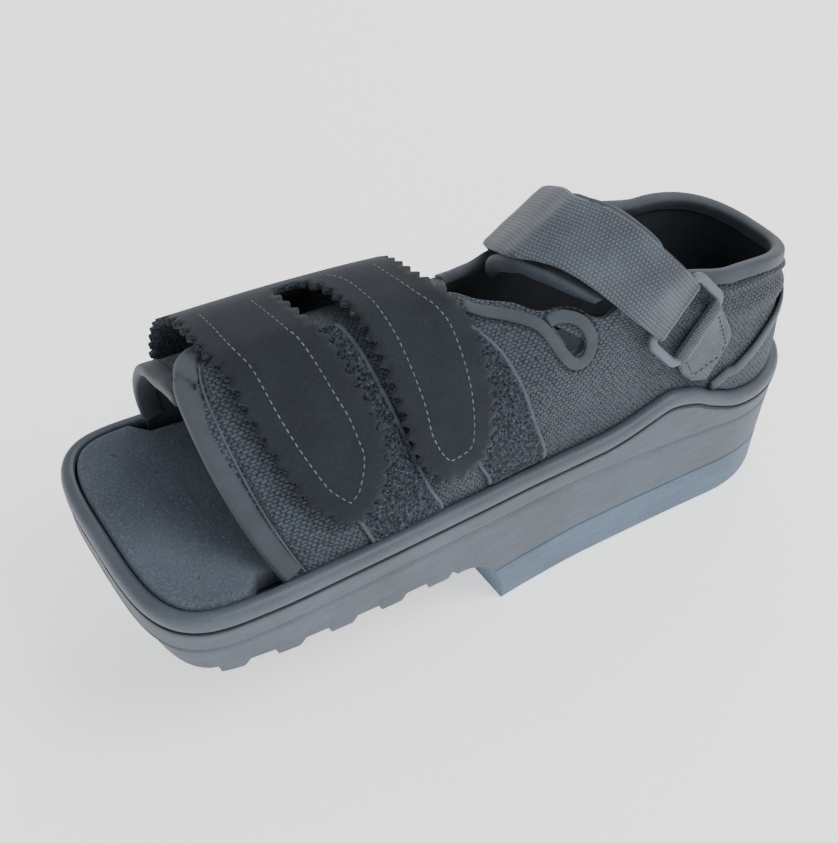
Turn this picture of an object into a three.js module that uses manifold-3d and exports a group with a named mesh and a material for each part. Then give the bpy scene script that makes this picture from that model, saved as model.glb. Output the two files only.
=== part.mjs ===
// Post-operative shoe with a forefoot-relief sole, in millimetres, +Z up.
// +X points to the toe, +Y to the wearer's left, and z = 0 is the ground under the heel block.
// Stations are measured from the back of the heel, and the last group moves the model so that
// the origin is the middle of the heel block's flat underside.
import * as THREE from 'three';
import { mergeVertices } from 'three/addons/utils/BufferGeometryUtils.js';
import Module from 'manifold-3d';

const wasm = await Module();
wasm.setup();

// Driving dimensions of the sole
const length = 295;            // outline, heel to toe
const ballWidth = 109.6;       // widest, at the toe box
const heelWidth = 79.6;        // across the heel
const heelRound = 47.7;        // length of the rounded heel end
const toeRound = 38.8;         // length of the squared toe end
const heelHeight = 47.5;       // ground to the welt groove at the heel
const toeHeight = 61.5;        // ground to the welt groove at the toe
const wingHeight = 10;         // rise of the heel cup's side wings above the groove line
const treadHeight = 18;        // heel tread layer
const blockStart = 40;         // flat underside begins, from the heel's back
const blockEnd = 153;          // flat underside ends at the arch face
const blockCurl = 6;           // rise of the bevelled back edge
const archRun = 24;            // length of the hollow face in front of the block
const archHeight = 28.5;       // top of that hollow face
const forefootRise = 0.105;    // slope of the forefoot underside
const toeBevel = 14;           // height of the rolled toe edge
const lugCount = 5;
const lugPitch = 21.2;
const lugLength = 9.6;
const lugDepth = 2.6;
const lugStart = 182;          // rear edge of the first lug
const soleDraft = 3.4;         // how far the sole's side leans in at its bottom
const cupWall = 4.3;           // side wall of the cup that holds the insole and upper
const ledgeDrop = 1.5;         // cup floor below the groove line
const gap = 0.3;               // clearance between neighbouring pieces

// Welt, insole and upper
const weltHeight = 7;
const weltBulge = 0.8;
const insoleThickness = 9;     // its face stands a little over the welt
const insoleInset = 12;          // insole edge inside the upper, from the outline
const insoleToeInset = 5.4;    // the same in front of the upper
const insoleRound = 1.2;       // rounding of its upper edge
const upperInset = 4.6;        // upper's outer face, from the outline
const meshWall = 2.4;          // padded mesh wall
const collarWall = 4;          // padded collar wall
const collarDepth = 30;        // depth of the padded zone below the collar's edge
const rollHeight = 1.7;        // how far the collar's padded rolls stand out
const vampRidge = 119.5;       // ridge height above ground at the vamp
const ankleRidge = 141;        // highest point of the instep line
const heelRidge = 128;         // height that the heel's side curves aim at
const toeOpening = 0.841 * length;   // station of the toe opening's near side edge
const flapLean = 12.5;         // how far the near flap leans over the toe
const farLean = 6;
const throatStart = 0.532 * length;  // station of the throat's front end on the ridge
const bindingWidth = 4.6;
const bindingProud = 0.9;
const keyholeX = 0.409 * length;
const keyholeZ = 0.726 * ankleRidge;
const keyholeRadius = 3.6;
const overlayGap = 0.6;        // clearance of overlays laid on the curved upper
const counterThickness = 1.2;
const counterFront = 56;       // station of the counter's front ends

// Straps, patches and buckle
const patchThickness = 1.3;
const patchWidth = 30;
const frontPatchAxis = 0.681 * length;
const rearPatchAxis = 0.515 * length;
const strapWidth = 36;
const toeStrapAxis = 0.732 * length;
const instepStrapAxis = 0.597 * length;
const strapThickness = 2.2;
const strapNearStand = 3.4;    // strap surface outside the upper, near side
const strapFarStand = 1.6;
const strapTopStand = 5.5;
const strapFarSquareness = 3;
const ankleStrapThickness = 1.6;
const ankleStrapWidth = 29;
const padThickness = 7;
const padCrown = 1.2;          // how far the pad's middle bows
const ringX = 0.254 * length;
const ringZ = 0.709 * ankleRidge;
const ringTilt = -42;          // slope of its long side, in degrees
const ringStand = 1.7;         // its clearance over the collar
const ringLength = 34;
const ringWidth = 21;
const ringRod = 3.4;
const ringCorner = 3;
const tabThickness = 1.4;

// A smooth curve through rows of two named columns
function curve(rows) {
  const xs = rows.map((row) => row[0]);
  const ys = rows.map((row) => row[1]);
  const slopes = xs.map((x, i) => {
    if (i === 0 || i === xs.length - 1) {
      return 0;
    }
    const before = (ys[i] - ys[i - 1]) / (xs[i] - xs[i - 1]);
    const after = (ys[i + 1] - ys[i]) / (xs[i + 1] - xs[i]);
    return before * after <= 0 ? 0 : 2 * before * after / (before + after);
  });
  return (x) => {
    const clamped = Math.min(Math.max(x, xs[0]), xs[xs.length - 1]);
    let i = 0;
    while (i < xs.length - 2 && clamped > xs[i + 1]) {
      i += 1;
    }
    const span = xs[i + 1] - xs[i];
    const t = (clamped - xs[i]) / span;
    const rise = t * t * (3 - 2 * t);
    const bend = span * t * (1 - t);
    return ys[i] + (ys[i + 1] - ys[i]) * rise + bend * ((1 - t) * slopes[i] - t * slopes[i + 1]);
  };
}

const lerp = THREE.MathUtils.lerp;
const clamp = THREE.MathUtils.clamp;
const smoothstep = THREE.MathUtils.smoothstep;

// Half width along the straight part: share of length, share of half the ball width
const bodyWidth = curve([
  [heelRound / length, heelWidth / ballWidth],
  [0.373, 0.746], [0.475, 0.790], [0.576, 0.861], [0.763, 0.967],
  [1 - toeRound / length, 1],
]);

// Groove line: share of length, share of the rise from heel to toe
const grooveRise = curve([
  [0, 0], [0.10, 0.014], [0.20, 0.16], [0.305, 0.32], [0.376, 0.42], [0.46, 0.52],
  [0.586, 0.72], [0.725, 0.89], [0.813, 0.95], [0.91, 0.985], [1, 1],
]);

// Heel cup wings: share of length, share of wingHeight
const wing = curve([
  [0, 0.1], [0.05, -0.04], [0.10, -0.1], [0.14, -0.04], [0.186, 0.36], [0.224, 0.84],
  [0.258, 1], [0.30, 0.64], [0.34, 0.25], [0.376, 0.05], [0.42, 0],
]);

function grooveLine(x) {
  return heelHeight + (toeHeight - heelHeight) * grooveRise(x / length);
}

function groove(x) {
  return grooveLine(x) + wingHeight * wing(x / length);
}

function ledge(x) {
  return grooveLine(x) - ledgeDrop;
}

// The plan outline as a polyline from the toe tip round the left side to the heel tip
const heelPower = 2.33;
const toePower = 3.69;
const outlinePoints = [];
const endSteps = 60;
for (let i = 0; i <= endSteps; i += 1) {
  const angle = (i / endSteps) * Math.PI / 2;
  const along = Math.cos(angle) ** (2 / toePower);
  const across = Math.sin(angle) ** (2 / toePower);
  outlinePoints.push([length - toeRound + toeRound * along, ballWidth / 2 * across]);
}
for (let i = 1; i < endSteps; i += 1) {
  const x = lerp(length - toeRound, heelRound, i / endSteps);
  outlinePoints.push([x, ballWidth / 2 * bodyWidth(x / length)]);
}
for (let i = 0; i <= endSteps; i += 1) {
  const angle = (i / endSteps) * Math.PI / 2;
  const along = Math.sin(angle) ** (2 / heelPower);
  const across = Math.cos(angle) ** (2 / heelPower);
  outlinePoints.push([heelRound * (1 - along), heelWidth / 2 * across]);
}
const outlineRun = [0];
for (let i = 1; i < outlinePoints.length; i += 1) {
  const dx = outlinePoints[i][0] - outlinePoints[i - 1][0];
  const dy = outlinePoints[i][1] - outlinePoints[i - 1][1];
  outlineRun.push(outlineRun[i - 1] + Math.hypot(dx, dy));
}
const halfPerimeter = outlineRun[outlineRun.length - 1];

// Point of the half outline at a share of its run, moved in by inset
function outlineAt(share, inset) {
  const run = clamp(share, 0, 1) * halfPerimeter;
  let i = 0;
  while (i < outlineRun.length - 2 && run > outlineRun[i + 1]) {
    i += 1;
  }
  const t = (run - outlineRun[i]) / (outlineRun[i + 1] - outlineRun[i]);
  const x = lerp(outlinePoints[i][0], outlinePoints[i + 1][0], t);
  const y = lerp(outlinePoints[i][1], outlinePoints[i + 1][1], t);
  let nx = outlinePoints[i + 1][1] - outlinePoints[i][1];
  let ny = outlinePoints[i][0] - outlinePoints[i + 1][0];
  if (share <= 0) {
    nx = 1;
    ny = 0;
  }
  if (share >= 1) {
    nx = -1;
    ny = 0;
  }
  if (share > 0 && share < 1 && nx * (x - length / 2) < 0 && Math.abs(nx) > Math.abs(ny)) {
    nx = -nx;
  }
  const size = Math.hypot(nx, ny);
  return [x - inset * nx / size, Math.max(y - inset * ny / size, 0)];
}

const outlineSteps = 44;

// A closed loop round the outline; height(x) gives z, and inset is the distance in from the
// outline, or gives it by x
function outlineLoop(inset, height) {
  const left = [];
  for (let i = 0; i <= outlineSteps; i += 1) {
    const base = outlineAt(i / outlineSteps, 0);
    const away = typeof inset === 'number' ? inset : inset(base[0]);
    const [x, y] = outlineAt(i / outlineSteps, away);
    const atTip = i === 0 || i === outlineSteps;
    left.push([x, atTip ? 0 : y, height(base[0])]);
  }
  const right = left.slice(1, -1).reverse().map(([x, y, z]) => [x, -y, z]);
  return left.concat(right);
}

// Meshes are made from a list of points and triangles
function toGeometry(points, triangles) {
  const geometry = new THREE.BufferGeometry();
  geometry.setAttribute('position', new THREE.Float32BufferAttribute(points.flat(), 3));
  geometry.setIndex(triangles.flat());
  return outward(mergeVertices(geometry, 1e-4));
}

function outward(geometry) {
  const p = geometry.attributes.position;
  const index = geometry.index;
  const a = new THREE.Vector3();
  const b = new THREE.Vector3();
  const c = new THREE.Vector3();
  let volume = 0;
  for (let i = 0; i < index.count; i += 3) {
    a.fromBufferAttribute(p, index.getX(i));
    b.fromBufferAttribute(p, index.getX(i + 1));
    c.fromBufferAttribute(p, index.getX(i + 2));
    volume += a.dot(b.cross(c));
  }
  if (volume < 0) {
    const list = Array.from(index.array);
    for (let i = 0; i < list.length; i += 3) {
      [list[i + 1], list[i + 2]] = [list[i + 2], list[i + 1]];
    }
    geometry.setIndex(list);
  }
  return geometry;
}

// Stacked loops of equal length, closed at both ends by strips between mirrored points
function loopStack(loops) {
  const count = loops[0].length;
  const half = count / 2;
  const points = loops.flat();
  const triangles = [];
  for (let k = 0; k + 1 < loops.length; k += 1) {
    for (let i = 0; i < count; i += 1) {
      const j = (i + 1) % count;
      const a = k * count;
      const b = a + count;
      triangles.push([a + i, a + j, b + j], [a + i, b + j, b + i]);
    }
  }
  for (const [start, flip] of [[0, false], [(loops.length - 1) * count, true]]) {
    for (let i = 0; i < half; i += 1) {
      const l0 = start + i;
      const l1 = start + i + 1;
      const r0 = start + (count - i) % count;
      const r1 = start + (count - i - 1) % count;
      const faces = [[l0, r1, l1], [l0, r0, r1]];
      for (const [p, q, r] of faces) {
        if (p !== q && q !== r && p !== r) {
          triangles.push(flip ? [p, r, q] : [p, q, r]);
        }
      }
    }
  }
  return toGeometry(points, triangles);
}

// Sweeps rings of points; closed joins the last ring to the first, otherwise the ends are capped
function ringSweep(rings, closed) {
  const count = rings[0].length;
  const triangles = [];
  const last = closed ? rings.length : rings.length - 1;
  for (let k = 0; k < last; k += 1) {
    const a = k * count;
    const b = ((k + 1) % rings.length) * count;
    for (let i = 0; i < count; i += 1) {
      const j = (i + 1) % count;
      triangles.push([a + i, a + j, b + j], [a + i, b + j, b + i]);
    }
  }
  if (!closed) {
    for (const [start, flip] of [[0, true], [(rings.length - 1) * count, false]]) {
      const ring = rings[start / count];
      for (const [p, q, r] of capFaces(ring)) {
        triangles.push(flip ? [start + p, start + r, start + q] : [start + p, start + q, start + r]);
      }
    }
  }
  return toGeometry(rings.flat(), triangles);
}

// Triangles of a flat or nearly flat ring, found in the plane that it fills best
function capFaces(ring) {
  const normal = new THREE.Vector3();
  ring.forEach((p, i) => {
    const q = ring[(i + 1) % ring.length];
    normal.x += (p[1] - q[1]) * (p[2] + q[2]);
    normal.y += (p[2] - q[2]) * (p[0] + q[0]);
    normal.z += (p[0] - q[0]) * (p[1] + q[1]);
  });
  normal.normalize();
  const turn = new THREE.Quaternion().setFromUnitVectors(normal, new THREE.Vector3(0, 0, 1));
  const flat = ring.map((p) => {
    const v = new THREE.Vector3(...p).applyQuaternion(turn);
    return new THREE.Vector2(v.x, v.y);
  });
  return THREE.ShapeUtils.triangulateShape(flat, []);
}

// A sheet: a grid of outer points and a grid of inner points, closed along its free edges
function sheet(outer, inner, triangles) {
  const keyOf = (p) => p.map((value) => Math.round(value * 1e4)).join(',');
  const seen = new Map();
  const weld = outer.map((p, i) => {
    const key = keyOf(p);
    if (!seen.has(key)) {
      seen.set(key, i);
    }
    return seen.get(key);
  });
  const faces = triangles
    .map((face) => face.map((i) => weld[i]))
    .filter(([a, b, c]) => a !== b && b !== c && a !== c);
  const edges = new Map();
  for (const [a, b, c] of faces) {
    for (const [p, q] of [[a, b], [b, c], [c, a]]) {
      const twin = `${q}_${p}`;
      if (edges.has(twin)) {
        edges.delete(twin);
      } else {
        edges.set(`${p}_${q}`, [p, q]);
      }
    }
  }
  const shift = outer.length;
  const all = faces.slice();
  for (const [a, b, c] of faces) {
    all.push([a + shift, c + shift, b + shift]);
  }
  for (const [p, q] of edges.values()) {
    all.push([q, p, p + shift], [q, p + shift, q + shift]);
  }
  return toGeometry(outer.concat(inner), all);
}

function gridTriangles(rows, columns, start = 0) {
  const triangles = [];
  for (let i = 0; i + 1 < rows; i += 1) {
    for (let j = 0; j + 1 < columns; j += 1) {
      const a = start + i * columns + j;
      const b = a + columns;
      triangles.push([a, a + 1, b + 1], [a, b + 1, b]);
    }
  }
  return triangles;
}

function toSolid(geometry) {
  const bare = geometry.clone();
  bare.deleteAttribute('normal');
  bare.deleteAttribute('uv');
  const merged = mergeVertices(bare, 1e-4);
  return new wasm.Manifold(new wasm.Mesh({
    numProp: 3,
    vertProperties: new Float32Array(merged.attributes.position.array),
    triVerts: new Uint32Array(merged.index.array),
  }));
}

function fromSolid(solid) {
  const mesh = solid.getMesh();
  const geometry = new THREE.BufferGeometry();
  geometry.setAttribute('position', new THREE.Float32BufferAttribute(mesh.vertProperties, 3));
  geometry.setIndex(Array.from(mesh.triVerts));
  return geometry;
}

// Side profile drawn in x and z, extruded across the whole shoe
function acrossShoe(profile) {
  const shape = new THREE.Shape(profile.map(([x, z]) => new THREE.Vector2(x, z)));
  const depth = 2 * ballWidth;
  const geometry = new THREE.ExtrudeGeometry(shape, { depth, bevelEnabled: false, steps: 1 });
  geometry.rotateX(Math.PI / 2);
  geometry.translate(0, depth / 2, 0);
  return geometry;
}

// Sole
function forefootUnder(x) {
  return archHeight + forefootRise * (x - blockEnd - archRun);
}

function undersideProfile() {
  const profile = [];
  const curlSteps = 5;
  for (let i = 0; i <= curlSteps; i += 1) {
    const t = i / curlSteps;
    profile.push([blockStart * t, blockCurl * (1 - t) ** 2]);
  }
  const archSteps = 8;
  for (let i = 0; i <= archSteps; i += 1) {
    const angle = (i / archSteps) * Math.PI / 2;
    profile.push([
      blockEnd + archRun * (1 - Math.cos(angle)),
      archHeight * Math.sin(angle),
    ]);
  }
  for (let i = 0; i < lugCount; i += 1) {
    const rear = lugStart + i * lugPitch;
    const front = rear + lugLength;
    profile.push([rear - lugDepth, forefootUnder(rear - lugDepth) + lugDepth]);
    profile.push([rear, forefootUnder(rear)]);
    profile.push([front - lugDepth / 2, forefootUnder(front)]);
    profile.push([front, forefootUnder(front) + lugDepth]);
  }
  const rollStart = lugStart + (lugCount - 1) * lugPitch + lugLength;
  const rollRun = length - rollStart;
  const rollSteps = 5;
  for (let i = 1; i <= rollSteps; i += 1) {
    const t = i / rollSteps;
    profile.push([
      rollStart + rollRun * t,
      forefootUnder(rollStart) + lugDepth + toeBevel * (1 - Math.sqrt(1 - t * t * 0.98)),
    ]);
  }
  const overTop = toeHeight + 4 * weltHeight;
  profile.push([length + weltHeight, forefootUnder(length) + toeBevel], [length + weltHeight, overTop]);
  profile.push([-weltHeight, overTop], [-weltHeight, blockCurl]);
  return profile;
}

// Bottom of the drafted body before its underside is cut
const bodyBottom = curve([
  [0, -1], [blockEnd - 4, -1], [blockEnd + archRun, archHeight - lugDepth], [length, archHeight],
]);

function soleBody() {
  // Level: share of the height from bottom to groove, and share of the draft
  const levels = [[0, 1], [0.3, 0.72], [0.6, 0.42], [0.84, 0.2], [1, 0]];
  const loops = levels.map(([rise, draft]) => outlineLoop(
    soleDraft * draft,
    (x) => lerp(bodyBottom(x), groove(x), rise),
  ));
  return loopStack(loops);
}

function cupCavity() {
  const overTop = (x) => groove(x) + 3 * weltHeight;
  return loopStack([outlineLoop(cupWall, ledge), outlineLoop(cupWall, overTop)]);
}

const soleSolid = toSolid(soleBody())
  .intersect(toSolid(acrossShoe(undersideProfile())))
  .subtract(toSolid(cupCavity()));

function slab(low, high) {
  return toSolid(acrossShoe([
    [-length, low], [2 * length, low], [2 * length, high], [-length, high],
  ]));
}

function frontOfBlock() {
  const x = blockEnd + archRun - gap;
  return toSolid(acrossShoe([[x, -length], [2 * length, -length], [2 * length, length], [x, length]]));
}

function soleGeometry() {
  return fromSolid(soleSolid.subtract(slab(-length, treadHeight + gap).subtract(frontOfBlock())));
}

function treadGeometry() {
  return fromSolid(soleSolid.intersect(slab(-length, treadHeight)));
}

// Welt: a rounded bead on the cup wall; rows are inset from the outline and height share
function weltGeometry() {
  const section = [
    [cupWall, 0], [0.7, 0], [-0.6 * weltBulge, 0.2], [-weltBulge, 0.5], [-0.3 * weltBulge, 0.8],
    [1.2, 0.97], [3.0, 1], [cupWall, 0.93],
  ];
  const loops = section.map(([inset, rise]) => outlineLoop(
    inset,
    (x) => groove(x) + gap + rise * (weltHeight - gap),
  ));
  const rings = loops[0].map((unused, i) => loops.map((loop) => loop[i]));
  return ringSweep(rings, true);
}

function insoleGeometry() {
  const bottom = (x) => ledge(x) + gap;
  const top = (x) => ledge(x) + gap + insoleThickness;
  const front = openingStation(-1) + 2 * bindingProud;
  const inset = (x) => lerp(insoleInset, insoleToeInset, smoothstep(x, front, front + weltHeight));
  return loopStack([
    outlineLoop(inset, bottom),
    outlineLoop(inset, (x) => top(x) - insoleRound),
    outlineLoop((x) => inset(x) + insoleRound, top),
  ]);
}

// Upper: half sections that are superellipses, from the base line to the ridge.
// q is the station of a section's base, e runs from 0 at the base to 1 on the ridge.
const ridgeShare = curve([
  [0.16, 0], [0.204, 0.15], [0.254, 0.46], [0.292, 0.77], [0.339, 1],
]);
const ridgeFall = curve([
  [0.339, 1], [0.373, 0.72], [0.407, 0.4], [0.444, 0.12], [0.4915, 0], [0.58, 0.04],
  [0.678, 0.07], [0.797, 0.02], [1, 0],
]);

function ridge(q) {
  const share = q / length;
  if (share < 0.339) {
    return lerp(heelRidge, ankleRidge, ridgeShare(share));
  }
  return lerp(vampRidge, ankleRidge, ridgeFall(share));
}

const nearPower = curve([
  [0.16, 3], [0.29, 2.8], [0.339, 2.6], [0.373, 2.4], [0.407, 2.2], [0.444, 2.1],
  [0.49, 1.95], [0.576, 1.8], [0.678, 1.55], [0.797, 1.2], [0.84, 1.05], [1, 1.05],
]);
const farPower = curve([
  [0.16, 3], [0.29, 2.8], [0.339, 2.6], [0.373, 2.4], [0.407, 2.2], [0.444, 2.1],
  [0.49, 2], [0.576, 1.95], [0.797, 1.9], [1, 1.9],
]);

function baseHeight(x) {
  return grooveLine(x) + weltHeight - 1;
}

function halfWidth(x) {
  if (x < heelRound) {
    return heelWidth / 2 * (1 - ((heelRound - x) / heelRound) ** heelPower) ** (1 / heelPower);
  }
  return ballWidth / 2 * bodyWidth(x / length);
}

// Padded rolls of the collar: depth below its edge as a share of collarDepth, share of rollHeight
const collarRoll = curve([
  [0, 0], [0.22, 0], [0.27, 0.5], [0.33, 0], [0.57, 1], [0.83, 0], [1, 0],
]);
const heelRollSpread = 0.7;    // the rolls sit closer together at the back of the heel
const rollFade = curve([[0.16, 1], [0.22, 1], [0.29, 0], [1, 0]]);

// Height of the quarter's and collar's free edge: share of length, share of e
const nearEdge = curve([
  [0.16, 0.44], [0.186, 0.45], [0.23, 0.472], [0.27, 0.44], [0.32, 0.40], [0.362, 0.40],
  [0.387, 0.47], [0.407, 0.56], [0.42, 0.61], [0.444, 0.67], [0.468, 0.78], [0.505, 0.88],
  [throatStart / length, 1],
]);
const farEdge = curve([
  [0.16, 0.44], [0.186, 0.45], [0.23, 0.472], [0.27, 0.44], [0.32, 0.40], [0.362, 0.40],
  [0.387, 0.44], [0.407, 0.49], [0.42, 0.52], [0.444, 0.56], [0.468, 0.63], [0.505, 0.75],
  [throatStart / length, 1],
]);
const heelEdge = 0.318;        // the same share at the back of the heel

function edgeAt({ side, q, turn = 0 }) {
  const edge = side > 0 ? nearEdge : farEdge;
  return lerp(edge(q / length), heelEdge, turn * turn * (3 - 2 * turn));
}

// Station where each side's front edge stands on the sole; both meet on the ridge
function openingStation(side) {
  return side > 0 ? toeOpening : toeOpening + flapLean - farLean;
}

// Point on the upper. side is 1 for left, -1 for right; turn goes from 0 at the heel's
// straight part to 1 at its back; strap asks for the strap's own, looser surface.
function skinPoint({ side, q, e, turn = 0, strap = false }) {
  const near = side > 0;
  const station = Math.max(q, heelRound);
  let half = halfWidth(station) - upperInset;
  const base = baseHeight(lerp(station, 0, turn));
  const forward = clamp((q - throatStart) / (openingStation(side) - throatStart), 0, 1.2);
  const leanTop = (near ? flapLean : farLean) * forward;
  let top = ridge(station + leanTop);
  let power = near ? nearPower(station / length) : farPower(station / length);
  if (strap) {
    half += near ? strapNearStand : strapFarStand;
    top += strapTopStand;
    power = near ? power : strapFarSquareness;
  }
  const angle = clamp(e, 0, 1) * Math.PI / 2;
  const width = e >= 1 ? 0 : Math.cos(angle) ** (2 / power);
  const rise = Math.sin(angle) ** (2 / power);
  const z = base + (top - base) * rise;
  if (turn > 0) {
    const around = turn * Math.PI / 2;
    const run = heelRound - upperInset;
    const reach = [
      run * Math.sin(around) ** (2 / heelPower),
      half * Math.cos(around) ** (2 / heelPower),
    ];
    const aside = Math.cos(around) ** 2;
    const pull = 1 - (1 - width) * aside;
    return new THREE.Vector3(heelRound - reach[0] * pull, side * reach[1] * pull, z);
  }
  const lean = leanTop * (1 - (1 - rise) ** 2.2);
  return new THREE.Vector3(q + lean, side * half * width, z);
}

function skinNormal(place) {
  const small = 0.004;
  const step = 0.4;
  const e0 = Math.max(place.e - small, 0);
  const e1 = Math.min(place.e + small, 0.999);
  const up = skinPoint({ ...place, e: e1 }).sub(skinPoint({ ...place, e: e0 }));
  let along;
  if (place.turn > 0) {
    const t0 = Math.max(place.turn - 0.02, 0.001);
    const t1 = Math.min(place.turn + 0.02, 0.999);
    along = skinPoint({ ...place, turn: t0 }).sub(skinPoint({ ...place, turn: t1 }));
  } else {
    along = skinPoint({ ...place, q: place.q + step }).sub(skinPoint({ ...place, q: place.q - step }));
  }
  const point = skinPoint(place);
  const middle = new THREE.Vector3(Math.max(point.x, heelRound), 0, baseHeight(point.x) - gap);
  const normal = up.cross(along).normalize();
  if (normal.dot(point.sub(middle)) < 0) {
    normal.negate();
  }
  if (place.turn > 0.98) {
    normal.y = 0;
    normal.normalize();
  }
  return normal;
}

function skinOffset(place, distance) {
  const point = skinPoint(place).addScaledVector(skinNormal(place), distance);
  if (place.e >= 0.999) {
    point.y = 0;
  }
  return point;
}

// How far the collar's padding stands proud of the smooth surface
function padAt(place) {
  const edge = edgeAt(place);
  const depth = skinPoint({ ...place, e: edge }).z - skinPoint(place).z;
  const spread = lerp(1, heelRollSpread, place.turn ?? 0);
  const share = Math.max(depth, 0) / spread / collarDepth;
  return rollHeight * collarRoll(share) * rollFade(place.q / length);
}

function wallAt(place) {
  const padded = rollFade(Math.max(place.q, 0) / length);
  const high = clamp(place.e / edgeAt(place), 0, 1);
  return lerp(meshWall, collarWall, padded * high);
}

const vampColumns = 9;
const quarterColumns = 12;
const heelColumns = 7;
const sideRows = 13;

function upperColumns(side) {
  const columns = [];
  for (let i = 0; i <= vampColumns; i += 1) {
    columns.push({ side, q: lerp(openingStation(side), throatStart, i / vampColumns), turn: 0, edge: 1 });
  }
  for (let i = 1; i <= quarterColumns; i += 1) {
    const q = lerp(throatStart, heelRound, i / quarterColumns);
    columns.push({ side, q, turn: 0, edge: edgeAt({ side, q }) });
  }
  for (let i = 1; i <= heelColumns; i += 1) {
    const turn = i / heelColumns;
    columns.push({ side, q: heelRound, turn, edge: edgeAt({ side, q: heelRound, turn }) });
  }
  return columns;
}

function upperGrid(columns) {
  const outer = [];
  const inner = [];
  for (const column of columns) {
    for (let k = -1; k <= sideRows; k += 1) {
      const e = column.edge * Math.max(k, 0) / sideRows;
      const place = { side: column.side, q: column.q, turn: column.turn, e: Math.max(e, 0.02) };
      const proud = padAt({ ...place, e });
      const out = skinOffset({ ...place, e: e < 0.02 ? 0.02 : e }, proud);
      const into = skinOffset({ ...place, e: e < 0.02 ? 0.02 : e }, -wallAt(place));
      if (k < 0) {
        const floor = ledge(out.x) + gap;
        out.z = floor;
        into.z = floor;
      }
      if (column.turn === 1) {
        out.y = 0;
        into.y = 0;
      }
      outer.push(out.toArray());
      inner.push(into.toArray());
    }
  }
  return { outer, inner };
}

function upperGeometry() {
  const outer = [];
  const inner = [];
  const triangles = [];
  const rows = sideRows + 2;
  for (const side of [1, -1]) {
    const columns = upperColumns(side);
    const grid = upperGrid(columns);
    for (const [a, b, c] of gridTriangles(columns.length, rows, outer.length)) {
      triangles.push(side > 0 ? [a, b, c] : [a, c, b]);
    }
    outer.push(...grid.outer);
    inner.push(...grid.inner);
  }
  return sheet(outer, inner, triangles);
}

// A place on the upper by station and w: 0 is the near base, 1 the ridge, 2 the far base
function placeAt(q, w, strap = false) {
  const side = w <= 1 ? 1 : -1;
  const e = w <= 1 ? w : 2 - w;
  const stretch = (openingStation(-1) - throatStart) / (openingStation(1) - throatStart);
  const station = side < 0 && q > throatStart ? throatStart + (q - throatStart) * stretch : q;
  return { side, q: station, e, strap };
}

// The place on the upper at a height
function heightPlace(side, q, turn, z) {
  const base = baseHeight(lerp(Math.max(q, heelRound), 0, turn));
  const power = side > 0 ? nearPower(q / length) : farPower(q / length);
  const rise = clamp((z - base) / (ridge(q) - base), 0, 1);
  return { side, q, turn, e: Math.asin(rise ** (power / 2)) * 2 / Math.PI };
}

// Rows of [w, rear share, front share] to a grid of places; shares are of width, from axis
function bandPlaces(rows, axis, width, columns, strap) {
  return rows.map(([w, rear, front]) => {
    const row = [];
    for (let j = 0; j <= columns; j += 1) {
      row.push(placeAt(axis + width * lerp(rear, front, j / columns), w, strap));
    }
    return row;
  });
}

function skinSheet(grids, inside, outside) {
  const outer = [];
  const inner = [];
  const triangles = [];
  for (const grid of grids) {
    triangles.push(...gridTriangles(grid.length, grid[0].length, outer.length));
    for (const place of grid.flat()) {
      outer.push(skinOffset(place, outside).toArray());
      inner.push(skinOffset(place, inside).toArray());
    }
  }
  return sheet(outer, inner, triangles);
}

// Pile patches on the near side: w, rear and front share of patchWidth
const patchColumns = 3;
const frontPatchRows = [
  [0.05, -0.54, 0.48], [0.16, -0.45, 0.50], [0.30, -0.38, 0.55], [0.45, -0.34, 0.62],
  [0.60, -0.30, 0.67], [0.75, -0.27, 0.72], [0.90, -0.23, 0.76], [0.985, -0.2, 0.78],
];
const rearPatchRows = [
  [0.05, -0.50, 0.42], [0.15, -0.42, 0.53], [0.24, -0.34, 0.60], [0.35, -0.28, 0.66],
  [0.46, -0.20, 0.72], [0.57, -0.10, 0.82], [0.69, 0.07, 0.92], [0.80, 0.22, 1.0],
];

function patchGeometry(rows, axis) {
  const grid = bandPlaces(rows, axis, patchWidth, patchColumns, false);
  return skinSheet([grid], overlayGap, overlayGap + patchThickness);
}

// Forefoot closure: two fingers joined over the far side; shares are of strapWidth
const toeStrapRows = [
  [0.205, 0.01, 0.07],
  [0.220, -0.10, 0.17],
  [0.250, -0.23, 0.23],
  [0.290, -0.32, 0.30],
  [0.340, -0.41, 0.37],
  [0.420, -0.48, 0.42],
  [0.520, -0.48, 0.47],
  [0.640, -0.44, 0.51],
  [0.780, -0.40, 0.54],
  [0.920, -0.36, 0.61],
  [1.050, -0.30, 0.63],
  [1.200, -0.28, 0.63],
];
const instepStrapRows = [
  [0.165, 0.04, 0.10],
  [0.175, -0.11, 0.22],
  [0.200, -0.24, 0.30],
  [0.240, -0.33, 0.37],
  [0.300, -0.39, 0.43],
  [0.380, -0.44, 0.46],
  [0.480, -0.48, 0.44],
  [0.600, -0.50, 0.44],
  [0.720, -0.51, 0.44],
  [0.840, -0.47, 0.45],
  [0.960, -0.39, 0.46],
  [1.080, -0.32, 0.49],
  [1.200, -0.31, 0.61],
];
const fingerColumns = 3;
const flapRows = [1.2, 1.3, 1.42, 1.55, 1.7, 1.84, 1.94, 1.996];

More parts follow.
